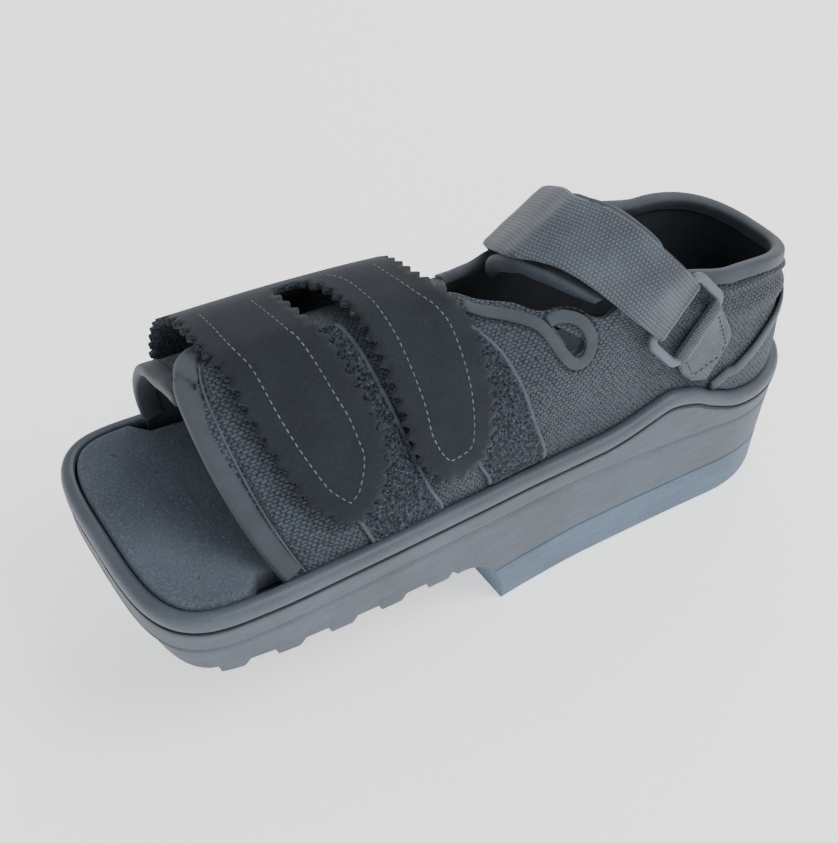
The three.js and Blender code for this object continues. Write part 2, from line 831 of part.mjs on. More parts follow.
function strapGeometry() {
  const toe = bandPlaces(toeStrapRows, toeStrapAxis, strapWidth, fingerColumns, true);
  const instep = bandPlaces(instepStrapRows, instepStrapAxis, strapWidth, fingerColumns, true);
  const [, toeRear, toeFront] = toeStrapRows[toeStrapRows.length - 1];
  const [, instepRear, instepFront] = instepStrapRows[instepStrapRows.length - 1];
  const flap = flapRows.map((w) => {
    const row = [];
    for (let j = 0; j <= fingerColumns; j += 1) {
      const share = lerp(instepRear, instepFront, j / fingerColumns);
      row.push(placeAt(instepStrapAxis + strapWidth * share, w, true));
    }
    for (let j = 0; j <= fingerColumns; j += 1) {
      const share = lerp(toeRear, toeFront, j / fingerColumns);
      row.push(placeAt(toeStrapAxis + strapWidth * share, w, true));
    }
    return row;
  });
  return skinSheet([toe, instep, flap], 0, strapThickness);
}

// A tape laid on a path of points and face normals, between two heights above it
function tapeGeometry(path, width, low, high) {
  const rings = path.map(({ point, normal }, i) => {
    const before = path[Math.max(i - 1, 0)].point;
    const after = path[Math.min(i + 1, path.length - 1)].point;
    const across = after.clone().sub(before).cross(normal).normalize();
    return [[-0.5, low], [0.5, low], [0.5, high], [-0.5, high]].map(([a, d]) => point.clone()
      .addScaledVector(across, a * width)
      .addScaledVector(normal, d)
      .toArray());
  });
  return ringSweep(rings, false);
}

// A folded tape round a free edge of the upper. Each stop has the edge's outer and inner
// points, the way into the panel and the face normal.
function bindingGeometry(stops) {
  const skin = gap + bindingProud;
  const rings = stops.map(({ outer, inner, into, normal }) => {
    const at = (point, a, d) => point.clone()
      .addScaledVector(into, a)
      .addScaledVector(normal, d)
      .toArray();
    const middle = outer.clone().lerp(inner, 0.5);
    return [
      at(outer, bindingWidth, skin + gap), at(outer, -gap, skin + gap), at(middle, -skin, 0),
      at(inner, -gap, -skin - 3 * gap), at(inner, bindingWidth, -skin - 3 * gap),
      at(inner, bindingWidth, -4 * gap), at(inner, -gap, -4 * gap),
      at(outer, -gap, 2 * gap), at(outer, bindingWidth, 2 * gap),
    ];
  });
  return ringSweep(rings, false);
}

function edgeStop(place, into) {
  const normal = skinNormal(place);
  if (place.e >= 0.999) {
    normal.y = 0;
    normal.normalize();
    into.y = 0;
    into.normalize();
  }
  return {
    outer: skinOffset(place, padAt(place)),
    inner: skinOffset(place, -wallAt(place)),
    into,
    normal,
  };
}

function toeBindingGeometry() {
  const stops = [];
  const push = (side, k) => {
    const place = { side, q: openingStation(side), e: k / sideRows };
    const back = skinPoint({ ...place, q: place.q - bindingWidth });
    stops.push(edgeStop(place, back.sub(skinPoint(place)).normalize()));
  };
  for (let k = 2; k <= sideRows; k += 1) {
    push(1, k);
  }
  for (let k = sideRows - 1; k >= 2; k -= 1) {
    push(-1, k);
  }
  return bindingGeometry(stops);
}

function collarBindingGeometry() {
  const stops = [];
  const push = (place) => {
    const edge = edgeAt(place);
    const down = skinPoint({ ...place, e: edge - 0.03 }).sub(skinPoint({ ...place, e: edge }));
    if (place.turn === 1) {
      down.y = 0;
    }
    stops.push(edgeStop({ ...place, e: edge }, down.normalize()));
  };
  const qAt = (i) => lerp(throatStart, heelRound, i / quarterColumns);
  for (let i = 6; i <= quarterColumns; i += 1) {
    push({ side: 1, q: qAt(i), turn: 0 });
  }
  for (let i = 1; i <= heelColumns; i += 1) {
    push({ side: 1, q: heelRound, turn: i / heelColumns });
  }
  for (let i = heelColumns - 1; i >= 1; i -= 1) {
    push({ side: -1, q: heelRound, turn: i / heelColumns });
  }
  for (let i = quarterColumns; i >= 1; i -= 1) {
    push({ side: -1, q: qAt(i), turn: 0 });
  }
  return bindingGeometry(stops);
}

// Throat tape: down the vamp's edge, round the keyhole and back to itself, as shares of length
// and ankleRidge
const throatTape = [
  [0.527, 0.838], [0.505, 0.823], [0.48, 0.81], [0.46, 0.798], [0.447, 0.783], [0.439, 0.76],
  [0.43, 0.722], [0.42, 0.69], [0.407, 0.678], [0.395, 0.69], [0.388, 0.722], [0.39, 0.757],
  [0.398, 0.781], [0.41, 0.794], [0.424, 0.798],
];

function throatBindingGeometry() {
  const path = throatTape.map(([along, up]) => {
    const place = heightPlace(1, along * length, 0, up * ankleRidge);
    return { point: skinPoint(place), normal: skinNormal(place) };
  });
  return tapeGeometry(path, bindingWidth, overlayGap, overlayGap + bindingProud);
}

// The keyhole's opening, a drop whose point lies up and towards the toe. Its point is given
// in radii from the middle of its round end, its arc in half turns.
const keyholeTip = [1.9, 2.2];
const keyholeArc = [0.82, 2.06];

function keyholeCutter() {
  const shape = new THREE.Shape();
  const tipX = keyholeX + keyholeTip[0] * keyholeRadius;
  const tipZ = keyholeZ + keyholeTip[1] * keyholeRadius;
  const [from, to] = keyholeArc.map((turns) => turns * Math.PI);
  shape.moveTo(tipX, tipZ);
  shape.absarc(keyholeX, keyholeZ, keyholeRadius, from, to, false);
  shape.lineTo(tipX, tipZ);
  const geometry = new THREE.ExtrudeGeometry(shape, {
    depth: heelWidth / 2, bevelEnabled: false, curveSegments: 8,
  });
  geometry.rotateX(Math.PI / 2);
  geometry.translate(0, heelWidth / 2 + heelWidth / 8, 0);
  return toSolid(geometry);
}

// Heel counter: its upper edge by station and by turn, as shares of the heel wall's height
const counterRise = curve([[0, 0.12], [0.12, 0.2], [0.3, 0.31], [0.6, 0.38], [1, 0.42]]);

function counterGeometry() {
  const rows = 3;
  const columns = [];
  const push = (side, q, turn) => {
    const x = turn > 0 ? skinPoint({ side, q, turn, e: 0 }).x : q;
    const low = groove(x) + weltHeight + 2 * gap;
    const along = turn > 0 ? 1 : (counterFront - q) / (counterFront - heelRound);
    const high = low + counterRise(turn) * along * (ridge(heelRound) - low);
    const column = [];
    for (let i = 0; i <= rows; i += 1) {
      column.push(heightPlace(side, q, turn, lerp(low, high, i / rows)));
    }
    columns.push(column);
  };
  push(1, counterFront - 1, 0);
  push(1, heelRound, 0);
  for (let i = 1; i <= heelColumns; i += 1) {
    push(1, heelRound, i / heelColumns);
  }
  for (let i = heelColumns - 1; i >= 1; i -= 1) {
    push(-1, heelRound, i / heelColumns);
  }
  push(-1, heelRound, 0);
  push(-1, counterFront - 1, 0);
  const outer = [];
  const inner = [];
  for (const place of columns.flat()) {
    const proud = padAt(place) + overlayGap;
    outer.push(skinOffset(place, proud + counterThickness).toArray());
    inner.push(skinOffset(place, proud).toArray());
  }
  return sheet(outer, inner, gridTriangles(columns.length, rows + 1));
}

// A sheet from a grid of points on its outer face, with each row's thickness laid inward
function thickGrid(grid, thickness, middle) {
  const rows = grid.length;
  const columns = grid[0].length;
  const outer = [];
  const inner = [];
  for (let i = 0; i < rows; i += 1) {
    for (let j = 0; j < columns; j += 1) {
      const along = grid[Math.min(i + 1, rows - 1)][j].clone().sub(grid[Math.max(i - 1, 0)][j]);
      const across = grid[i][Math.min(j + 1, columns - 1)].clone().sub(grid[i][Math.max(j - 1, 0)]);
      const normal = along.cross(across).normalize();
      const point = grid[i][j];
      if (normal.dot(point.clone().sub(middle)) < 0) {
        normal.negate();
      }
      outer.push(point.toArray());
      inner.push(point.clone().addScaledVector(normal, -thickness[i]).toArray());
    }
  }
  return sheet(outer, inner, gridTriangles(rows, columns));
}

const ankleMiddle = new THREE.Vector3(0.3 * length, 0, 0.7 * ankleRidge);

// Instep pad: y share of the half width, front and back edge as shares of length and
// ankleRidge, share of padThickness
const padRows = [
  [-0.55, 0.418, 0.73, 0.31, 0.79, 0.5],
  [-0.51, 0.428, 0.765, 0.315, 0.86, 0.7],
  [-0.41, 0.434, 0.802, 0.32, 0.93, 1],
  [-0.2, 0.436, 0.838, 0.33, 0.99, 1],
  [0, 0.43, 0.852, 0.332, 1.01, 1],
  [0.21, 0.418, 0.852, 0.31, 0.995, 1],
  [0.41, 0.4, 0.838, 0.28, 0.945, 0.8],
  [0.55, 0.383, 0.82, 0.26, 0.89, 0.5],
  [0.63, 0.37, 0.805, 0.26, 0.862, 0.3],
];
const padColumns = 4;

function padGeometry() {
  const thickness = padRows.map((row) => padThickness * row[5]);
  const grid = padRows.map(([side, frontX, frontZ, backX, backZ]) => {
    const half = halfWidth(length * lerp(frontX, backX, 0.5));
    const row = [];
    for (let j = 0; j <= padColumns; j += 1) {
      const t = j / padColumns;
      const crown = padCrown * Math.sin(Math.PI * t);
      row.push(new THREE.Vector3(
        length * lerp(frontX, backX, t),
        side * half,
        ankleRidge * lerp(frontZ, backZ, t) - crown,
      ));
    }
    return row;
  });
  return thickGrid(grid, thickness, ankleMiddle);
}

// Ring: a rounded rectangular loop that stands off the quarter, its long side along the strap's
// width. upper and lower are the middles of its two long sides.
function ringFrame() {
  const place = heightPlace(1, ringX, 0, ringZ);
  const normal = skinNormal(place);
  const centre = skinOffset(place, padAt(place) + ringRod / 2 + ringStand);
  const tilt = THREE.MathUtils.degToRad(ringTilt);
  const long = new THREE.Vector3(Math.cos(tilt), 0, Math.sin(tilt)).projectOnPlane(normal).normalize();
  const down = normal.clone().cross(long).normalize();
  if (down.z > 0) {
    down.negate();
  }
  const reach = (ringWidth - ringRod) / 2;
  const upper = centre.clone().addScaledVector(down, -reach);
  const lower = centre.clone().addScaledVector(down, reach);
  return { centre, normal, long, down, upper, lower };
}

function ringGeometry() {
  const { centre, normal, long, down } = ringFrame();
  const cornerSteps = 3;
  const rodSides = 6;
  const rings = [];
  const corners = [[1, 1], [-1, 1], [-1, -1], [1, -1]];
  corners.forEach(([u, v], c) => {
    const cu = u * (ringLength / 2 - ringRod / 2 - ringCorner);
    const cv = v * (ringWidth / 2 - ringRod / 2 - ringCorner);
    for (let i = 0; i <= cornerSteps; i += 1) {
      const angle = (c + i / cornerSteps) * Math.PI / 2;
      const ring = [];
      for (let k = 0; k < rodSides; k += 1) {
        const roll = (k / rodSides) * Math.PI * 2;
        const radial = ringCorner + ringRod / 2 * Math.cos(roll);
        ring.push(centre.clone()
          .addScaledVector(long, cu + radial * Math.cos(angle))
          .addScaledVector(down, cv + radial * Math.sin(angle))
          .addScaledVector(normal, ringRod / 2 * Math.sin(roll))
          .toArray());
      }
      rings.push(ring);
    }
  });
  return ringSweep(rings, true);
}

// Cloth that wraps a long side of the ring: a row of face points at an angle round that side,
// 0 straight out and 90 degrees on its down side, with a width along the ring
function wrapRow({ normal, long, down }, bar, degrees, thickness, width, columns) {
  const angle = THREE.MathUtils.degToRad(degrees);
  const radius = ringRod / 2 + gap + thickness;
  const row = [];
  for (let j = 0; j <= columns; j += 1) {
    row.push(bar.clone()
      .addScaledVector(normal, radius * Math.cos(angle))
      .addScaledVector(down, radius * Math.sin(angle))
      .addScaledVector(long, width * (j / columns - 0.5)));
  }
  return row;
}

// Ankle strap's middle line to the ring: y share of the half width, x share of length, z share
// of ankleRidge, share of ankleStrapWidth
const ankleRows = [
  [-0.97, 0.252, 0.53, 1.12],
  [-0.975, 0.276, 0.61, 1.18],
  [-0.96, 0.304, 0.702, 1.2],
  [-0.915, 0.333, 0.795, 1.22],
  [-0.76, 0.358, 0.86, 1.22],
  [-0.5, 0.376, 0.896, 1.18],
  [-0.24, 0.389, 0.928, 1.12],
  [0, 0.395, 0.951, 1.06],
  [0.223, 0.381, 0.962, 1.02],
  [0.42, 0.361, 0.949, 0.98],
  [0.61, 0.344, 0.922, 0.95],
  [0.785, 0.325, 0.881, 0.92],
  [0.945, 0.305, 0.834, 0.9],
];
const ankleTilt = [-31, -31, -38];   // at its far end, on the ridge and near the ring, degrees
const ankleEnd = 0.86;               // width at the ring, as a share of ankleStrapWidth
const ankleWrap = [-25, 10, 42, 72]; // angles of its last rows round the ring's upper side
const ankleColumns = 3;

function ankleStrapGeometry() {
  const steps = ankleRows.length - 1;
  const tiltAt = curve([[0, ankleTilt[0]], [steps / 2, ankleTilt[1]], [steps, ankleTilt[2]]]);
  const grid = ankleRows.map(([side, along, up, share], i) => {
    const tilt = THREE.MathUtils.degToRad(tiltAt(i));
    const half = halfWidth(length * along);
    const row = [];
    for (let j = 0; j <= ankleColumns; j += 1) {
      const a = ankleStrapWidth * share * (j / ankleColumns - 0.5);
      row.push(new THREE.Vector3(
        length * along + a * Math.cos(tilt),
        side * half,
        ankleRidge * up + a * Math.sin(tilt),
      ));
    }
    return row;
  });
  const ring = ringFrame();
  const width = ankleStrapWidth * ankleEnd;
  for (const angle of ankleWrap) {
    grid.push(wrapRow(ring, ring.upper, angle, ankleStrapThickness, width, ankleColumns));
  }
  return thickGrid(grid, grid.map(() => ankleStrapThickness), ankleMiddle);
}

// Ring tab, seen from the side: its front and back corners as shares of ringLength along the
// ring and of the drop from the ring to the welt, and its stand-off as a share of tabThickness
const tabRows = [
  [0.4, 0.17, -0.38, 0.17, 1.7],
  [0.45, 0.5, -0.27, 0.84, 1.2],
  [0.46, 0.78, -0.17, 1.16, 0.7],
  [0.45, 1, 0.31, 1.4, 0.5],
];
const tabEnd = 0.74;            // width at the ring, as a share of ringLength
const tabWrap = [-60, -30, 0, 30, 60];  // angles of its first rows round the ring's lower side
const tabColumns = 3;
const tabClear = 1.5;           // its lowest front corner over the welt

function tabGeometry() {
  const ring = ringFrame();
  const { lower } = ring;
  const grid = tabWrap.map((angle) => (
    wrapRow(ring, lower, angle, tabThickness, ringLength * tabEnd, tabColumns)
  ));
  const tilt = THREE.MathUtils.degToRad(ringTilt);
  const [slope, fall] = [Math.cos(tilt), -Math.sin(tilt)];
  const corner = ringLength * tabRows[tabRows.length - 1][0];
  const floor = groove(ringX) + weltHeight + tabClear;
  const drop = (lower.z - corner * fall - floor) / slope;
  for (const [frontA, frontD, backA, backD, stand] of tabRows) {
    const row = [];
    for (let j = tabColumns; j >= 0; j -= 1) {
      const a = ringLength * lerp(frontA, backA, j / tabColumns);
      const d = drop * lerp(frontD, backD, j / tabColumns);
      const place = heightPlace(1, lower.x + a * slope - d * fall, 0, lower.z - a * fall - d * slope);
      row.push(skinOffset(place, padAt(place) + (stand + 1) * tabThickness));
    }
    grid.push(row);
  }
  return thickGrid(grid, grid.map(() => tabThickness), ankleMiddle);
}

const finishes = {
  sole: [0x6c7681, 0.85, 0],
  tread: [0x5f7488, 0.85, 0],
  welt: [0x7b8591, 0.6, 0],
  insole: [0x59626c, 0.95, 0],
  mesh: [0x3f474f, 0.9, 0],
  pile: [0x353c44, 1, 0],
  strap: [0x363d46, 0.8, 0],
  tape: [0x707983, 0.75, 0],
  webbing: [0x5a626c, 0.8, 0],
  padding: [0x30363e, 0.95, 0],
  plastic: [0x6e7782, 0.45, 0],
};

function material(name) {
  const [color, roughness, metalness] = finishes[name];
  return new THREE.MeshStandardMaterial({ color, roughness, metalness });
}

const shoe = new THREE.Group();
function add(name, geometry, finish) {
  const mesh = new THREE.Mesh(geometry, material(finish));
  mesh.name = name;
  shoe.add(mesh);
}

add('sole', soleGeometry(), 'sole');
add('heel_tread', treadGeometry(), 'tread');
add('welt', weltGeometry(), 'welt');
add('insole', insoleGeometry(), 'insole');
add('upper', fromSolid(toSolid(upperGeometry()).subtract(keyholeCutter())), 'mesh');
add('patch_front', patchGeometry(frontPatchRows, frontPatchAxis), 'pile');
add('patch_rear', patchGeometry(rearPatchRows, rearPatchAxis), 'pile');
add('forefoot_strap', strapGeometry(), 'strap');
add('toe_binding', toeBindingGeometry(), 'tape');
add('throat_binding', throatBindingGeometry(), 'tape');
add('collar_binding', collarBindingGeometry(), 'tape');
add('heel_counter', counterGeometry(), 'mesh');
add('instep_pad', padGeometry(), 'padding');
add('ankle_strap', ankleStrapGeometry(), 'webbing');
add('ring', ringGeometry(), 'plastic');
add('ring_tab', tabGeometry(), 'webbing');

shoe.position.x = -(blockStart + blockEnd) / 2;
const model = new THREE.Group();
model.add(shoe);
export default model;
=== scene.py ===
"""Post operative shoe: the visible pieces and their finishes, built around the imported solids.

Sizes are in millimetres on the shoe's own stations, counted from the back of the heel, and
become metres in the frame when a mesh is made.
"""

import logging
from bisect import bisect_left
from dataclasses import dataclass, field, replace
from enum import Enum
from math import asin, copysign, cos, exp, hypot, pi, radians, sin, sqrt, tau
from typing import Callable, Optional, Sequence, Union

import bmesh
import bpy
from mathutils import Matrix, Vector, noise
from mathutils.geometry import delaunay_2d_cdt


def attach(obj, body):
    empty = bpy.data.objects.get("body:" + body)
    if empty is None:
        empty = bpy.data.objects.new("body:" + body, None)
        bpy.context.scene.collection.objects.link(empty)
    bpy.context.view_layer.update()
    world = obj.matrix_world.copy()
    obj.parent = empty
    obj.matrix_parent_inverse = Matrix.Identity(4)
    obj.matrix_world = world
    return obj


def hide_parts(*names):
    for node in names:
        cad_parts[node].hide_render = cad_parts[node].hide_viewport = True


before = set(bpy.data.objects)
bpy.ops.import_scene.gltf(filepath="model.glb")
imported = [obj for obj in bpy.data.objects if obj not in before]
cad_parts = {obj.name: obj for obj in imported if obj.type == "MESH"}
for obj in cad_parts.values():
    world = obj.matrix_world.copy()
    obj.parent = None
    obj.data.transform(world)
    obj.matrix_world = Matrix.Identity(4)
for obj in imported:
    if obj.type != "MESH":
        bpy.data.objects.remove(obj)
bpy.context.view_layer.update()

LOG = logging.getLogger("shoe")
MM = 0.001
BODY = "root"

Row = Sequence[float]
Point = Sequence[float]
Height = Callable[[float], float]
Line = Sequence[Vector]
Grid = Sequence[Sequence[Vector]]
Material = bpy.types.Material
Piece = bpy.types.Object
Socket = bpy.types.NodeSocket


def lerp(a: float, b: float, t: float) -> float:
    """Returns the value at share t between a and b."""
    return a + (b - a) * t


def clamp(value: float, low: float = 0.0, high: float = 1.0) -> float:
    """Returns the value held between low and high."""
    return min(max(value, low), high)


def smooth(value: float, low: float, high: float) -> float:
    """Returns a smooth 0 to 1 step of value between low and high."""
    t = clamp((value - low) / (high - low))
    return t * t * (3 - 2 * t)


class Curve:
    """A smooth curve through rows of x and y that never overshoots its rows."""

    def __init__(self, rows: Sequence[Row]) -> None:
        """Keeps the rows and works out their slopes.

        Args:
            rows: pairs of x and y, with x rising.
        """
        self.xs = [row[0] for row in rows]
        self.ys = [row[1] for row in rows]
        last = len(rows) - 1
        self.slopes = [0.0] * len(rows)
        for i in range(1, last):
            before = (self.ys[i] - self.ys[i - 1]) / (self.xs[i] - self.xs[i - 1])
            after = (self.ys[i + 1] - self.ys[i]) / (self.xs[i + 1] - self.xs[i])
            if before * after > 0:
                self.slopes[i] = 2 * before * after / (before + after)

    def __call__(self, x: float) -> float:
        """Returns the curve's height at x."""
        xs, ys = self.xs, self.ys
        x = clamp(x, xs[0], xs[-1])
        i = clamp(bisect_left(xs, x) - 1, 0, len(xs) - 2)
        span = xs[i + 1] - xs[i]
        t = (x - xs[i]) / span
        bend = span * t * (1 - t) * ((1 - t) * self.slopes[i] - t * self.slopes[i + 1])
        return ys[i] + (ys[i + 1] - ys[i]) * t * t * (3 - 2 * t) + bend


def spline(points: Sequence[Point], per_span: int) -> list[Vector]:
    """Returns a finer run of points on a smooth curve through the given ones.

    Args:
        points: the points the curve passes through.
        per_span: how many steps each span gets.
    """
    stops = [Vector(p) for p in points]
    ends = [2 * stops[0] - stops[1]] + stops + [2 * stops[-1] - stops[-2]]
    run = []
    for i in range(1, len(ends) - 2):
        a, b, c, d = ends[i - 1 : i + 3]
        for k in range(per_span):
            t = k / per_span
            term = 2 * b + (c - a) * t
            term += (2 * a - 5 * b + 4 * c - d) * t * t
            term += (3 * b - a - 3 * c + d) * t * t * t
            run.append(0.5 * term)
    run.append(stops[-1])
    return run


def run_lengths(points: Line) -> list[float]:
    """Returns the length along the points up to each of them."""
    total = [0.0]
    for before, after in zip(points, points[1:]):
        total.append(total[-1] + (after - before).length)
    return total


def heading(points: Line, i: int, reach: int = 1) -> Vector:
    """Returns the way along a line at its point i, from one point before to one after it."""
    return points[min(i + reach, len(points) - 1)] - points[max(i - reach, 0)]


def stacked_map(loops: Grid) -> list[list[tuple[float, float]]]:
    """Returns the flat map of stacked loops: the length round them and the loop's number."""
    return [[(run, k) for run in run_lengths(loops[0])] for k in range(len(loops))]


def hump(value: float, middle: float, width: float) -> float:
    """Returns a round hump of height 1 at middle."""
    return exp(-(((value - middle) / width) ** 2))


def resample(points: Line, step: float) -> list[Vector]:
    """Returns points about one step apart along a line.

    Args:
        points: the line.
        step: the wanted spacing.
    """
    total = run_lengths(points)
    count = max(int(round(total[-1] / step)), 1)
    result = []
    i = 0
    for k in range(count + 1):
        want = total[-1] * k / count
        while i < len(points) - 2 and total[i + 1] < want:
            i += 1
        span = total[i + 1] - total[i] or 1.0
        result.append(points[i].lerp(points[i + 1], clamp((want - total[i]) / span)))
    return result


@dataclass(frozen=True)
class Place:
    """A place on the upper.

    side is 1 for the left and -1 for the right, q the station of its section, e the share of
    the way from the base to the ridge, and turn goes from 0 to 1 round the back of the heel.
    """

    side: int
    q: float
    e: float
    turn: float = 0.0
    strap: bool = False


@dataclass
class Last:
    """The shoe's own shape: outline, groove line and the upper's surface."""

    length: float = 295.0
    ball_width: float = 109.6
    heel_width: float = 79.6
    heel_round: float = 47.7
    toe_round: float = 38.8
    heel_power: float = 2.33
    toe_power: float = 3.69
    heel_height: float = 47.5
    toe_height: float = 61.5
    wing_height: float = 10.0
    ledge_drop: float = 1.5
    welt_height: float = 7.0
    upper_inset: float = 4.6
    vamp_ridge: float = 119.5
    ankle_ridge: float = 141.0
    heel_ridge: float = 128.0
    toe_opening: float = 248.0
    flap_lean: float = 12.5
    far_lean: float = 6.0
    throat_start: float = 157.0
    strap_near_stand: float = 3.4
    strap_far_stand: float = 1.6
    strap_top_stand: float = 5.5
    strap_far_squareness: float = 3.0
    block_start: float = 40.0
    block_end: float = 153.0
    heel_edge: float = 0.318
    mesh_wall: float = 2.4
    collar_wall: float = 3.4
    collar_depth: float = 30.0
    roll_height: float = 1.7
    heel_roll_spread: float = 0.7

    def __post_init__(self) -> None:
        """Makes the curves that the named sizes drive."""
        body = [(self.heel_round / self.length, self.heel_width / self.ball_width)]
        body += [(0.373, 0.746), (0.475, 0.790), (0.576, 0.861), (0.763, 0.967)]
        body += [(1 - self.toe_round / self.length, 1)]
        self.body_width = Curve(body)
        self.groove_rise = Curve(
            [(0, 0), (0.10, 0.014), (0.20, 0.16), (0.305, 0.32), (0.376, 0.42), (0.46, 0.52)]
            + [(0.586, 0.72), (0.725, 0.89), (0.813, 0.95), (0.91, 0.985), (1, 1)]
        )
        self.wing = Curve(
            [(0, 0.1), (0.05, -0.04), (0.10, -0.1), (0.14, -0.04), (0.186, 0.36), (0.224, 0.84)]
            + [(0.258, 1), (0.30, 0.64), (0.34, 0.25), (0.376, 0.05), (0.42, 0)]
        )
        self.ridge_share = Curve([(0.16, 0), (0.204, 0.15), (0.254, 0.46), (0.292, 0.77), (0.339, 1)])
        self.ridge_fall = Curve(
            [(0.339, 1), (0.373, 0.72), (0.407, 0.4), (0.444, 0.12), (0.4915, 0), (0.58, 0.04)]
            + [(0.678, 0.07), (0.797, 0.02), (1, 0)]
        )
        shared = [(0.16, 3), (0.29, 2.8), (0.339, 2.6), (0.373, 2.4), (0.407, 2.2), (0.444, 2.1)]
        self.near_power = Curve(
            shared + [(0.49, 1.95), (0.576, 1.8), (0.678, 1.55), (0.797, 1.2), (0.84, 1.05), (1, 1.05)]
        )
        self.far_power = Curve(shared + [(0.49, 2), (0.576, 1.95), (0.797, 1.9), (1, 1.9)])
        rear = [(0.16, 0.44), (0.186, 0.45), (0.23, 0.472), (0.27, 0.44), (0.32, 0.40), (0.362, 0.40)]
        throat = [(self.throat_start / self.length, 1)]
        self.near_edge = Curve(
            rear
            + [(0.387, 0.47), (0.407, 0.56), (0.42, 0.61), (0.444, 0.67), (0.468, 0.78), (0.505, 0.88)]
            + throat
        )
        self.far_edge = Curve(
            rear
            + [(0.387, 0.44), (0.407, 0.49), (0.42, 0.52), (0.444, 0.56), (0.468, 0.63), (0.505, 0.75)]
            + throat
        )
        self.collar_roll = Curve([(0, 0), (0.17, 0), (0.24, 0.75), (0.32, 0), (0.57, 1), (0.83, 0), (1, 0)])
        self.roll_fade = Curve([(0.16, 1), (0.22, 1), (0.29, 0), (1, 0)])

    def groove_line(self, x: float) -> float:
        """Returns the groove's height without the heel's side wings."""
        return lerp(self.heel_height, self.toe_height, self.groove_rise(x / self.length))

    def groove(self, x: float) -> float:
        """Returns the height of the groove under the welt at a station."""
        return self.groove_line(x) + self.wing_height * self.wing(x / self.length)

    def ledge(self, x: float) -> float:
        """Returns the height of the cup's floor at a station."""
        return self.groove_line(x) - self.ledge_drop

    def half_width(self, x: float) -> float:
        """Returns half the outline's width at a station."""
        if x < self.heel_round:
            share = clamp((self.heel_round - x) / self.heel_round)
            return self.heel_width / 2 * (1 - share**self.heel_power) ** (1 / self.heel_power)
        if x > self.length - self.toe_round:
            share = clamp((x - self.length + self.toe_round) / self.toe_round)
            return self.ball_width / 2 * (1 - share**self.toe_power) ** (1 / self.toe_power)
        return self.ball_width / 2 * self.body_width(x / self.length)

    def base(self, x: float) -> float:
        """Returns the height where the upper's face starts."""
        return self.groove_line(x) + self.welt_height - 1

    def ridge(self, q: float) -> float:
        """Returns the height of the upper's ridge at a station."""
        share = q / self.length
        if share < 0.339:
            return lerp(self.heel_ridge, self.ankle_ridge, self.ridge_share(share))
        return lerp(self.vamp_ridge, self.ankle_ridge, self.ridge_fall(share))

    def edge_at(self, side: int, q: float, turn: float = 0.0) -> float:
        """Returns the share e of the upper's free edge."""
        edge = self.near_edge if side > 0 else self.far_edge
        return lerp(edge(q / self.length), self.heel_edge, turn * turn * (3 - 2 * turn))

    def opening(self, side: int) -> float:
        """Returns the station where a side's front edge stands on the sole."""
        return self.toe_opening if side > 0 else self.toe_opening + self.flap_lean - self.far_lean

    def skin(self, place: Place) -> Vector:
        """Returns the point of the upper's surface at a place."""
        near = place.side > 0
        station = max(place.q, self.heel_round)
        half = self.half_width(min(station, self.length - self.toe_round)) - self.upper_inset
        base = self.base(lerp(station, 0, place.turn))
        ahead = (place.q - self.throat_start) / (self.opening(place.side) - self.throat_start)
        lean_top = (self.flap_lean if near else self.far_lean) * clamp(ahead, 0, 1.2)
        top = self.ridge(station + lean_top)
        power = (self.near_power if near else self.far_power)(station / self.length)
        if place.strap:
            half += self.strap_near_stand if near else self.strap_far_stand
            top += self.strap_top_stand
            power = power if near else self.strap_far_squareness
        angle = clamp(place.e) * pi / 2
        width = 0.0 if place.e >= 1 else cos(angle) ** (2 / power)
        rise = sin(angle) ** (2 / power)
        z = base + (top - base) * rise
        if place.turn > 0:
            around = place.turn * pi / 2
            run = self.heel_round - self.upper_inset
            back = run * sin(around) ** (2 / self.heel_power)
            aside = half * max(cos(around), 0.0) ** (2 / self.heel_power)
            pull = 1 - (1 - width) * cos(around) ** 2
            return Vector((self.heel_round - back * pull, place.side * aside * pull, z))
        lean = lean_top * (1 - (1 - rise) ** 2.2)
        return Vector((place.q + lean, place.side * half * width, z))

    def normal(self, place: Place) -> Vector:
        """Returns the outward direction of the upper's surface at a place."""
        small, step, swing = 0.004, 0.4, 0.02
        up = self.skin(replace(place, e=min(place.e + small, 0.999)))
        up -= self.skin(replace(place, e=max(place.e - small, 0)))
        if place.turn > 0:
            along = self.skin(replace(place, turn=max(place.turn - swing, 0.001)))
            along -= self.skin(replace(place, turn=min(place.turn + swing, 0.999)))
        else:
            along = self.skin(replace(place, q=place.q + step))
            along -= self.skin(replace(place, q=place.q - step))
        point = self.skin(place)
        middle = Vector((max(point.x, self.heel_round), 0, self.base(point.x) - 1))
        normal = up.cross(along).normalized()
        if normal.dot(point - middle) < 0:
            normal.negate()
        if place.turn > 0.98 or place.e >= 0.999:
            normal.y = 0
            normal.normalize()
        return normal

    def offset(self, place: Place, distance: float) -> Vector:
        """Returns the point that stands a distance off the upper's surface."""
        return self.skin(place) + self.normal(place) * distance

    def pad(self, place: Place) -> float:
        """Returns how far the collar's padding stands proud at a place."""
        fade = self.roll_fade(place.q / self.length)
        if fade <= 0:
            return 0.0
        edge = self.edge_at(place.side, place.q, place.turn)
        depth = self.skin(replace(place, e=edge)).z - self.skin(place).z
        spread = lerp(1, self.heel_roll_spread, place.turn)
        return self.roll_height * self.collar_roll(max(depth, 0) / spread / self.collar_depth) * fade

    def wall(self, place: Place) -> float:
        """Returns the upper's thickness at a place."""
        padded = self.roll_fade(place.q / self.length)
        high = clamp(place.e / self.edge_at(place.side, place.q, place.turn))
        return lerp(self.mesh_wall, self.collar_wall, padded * high)

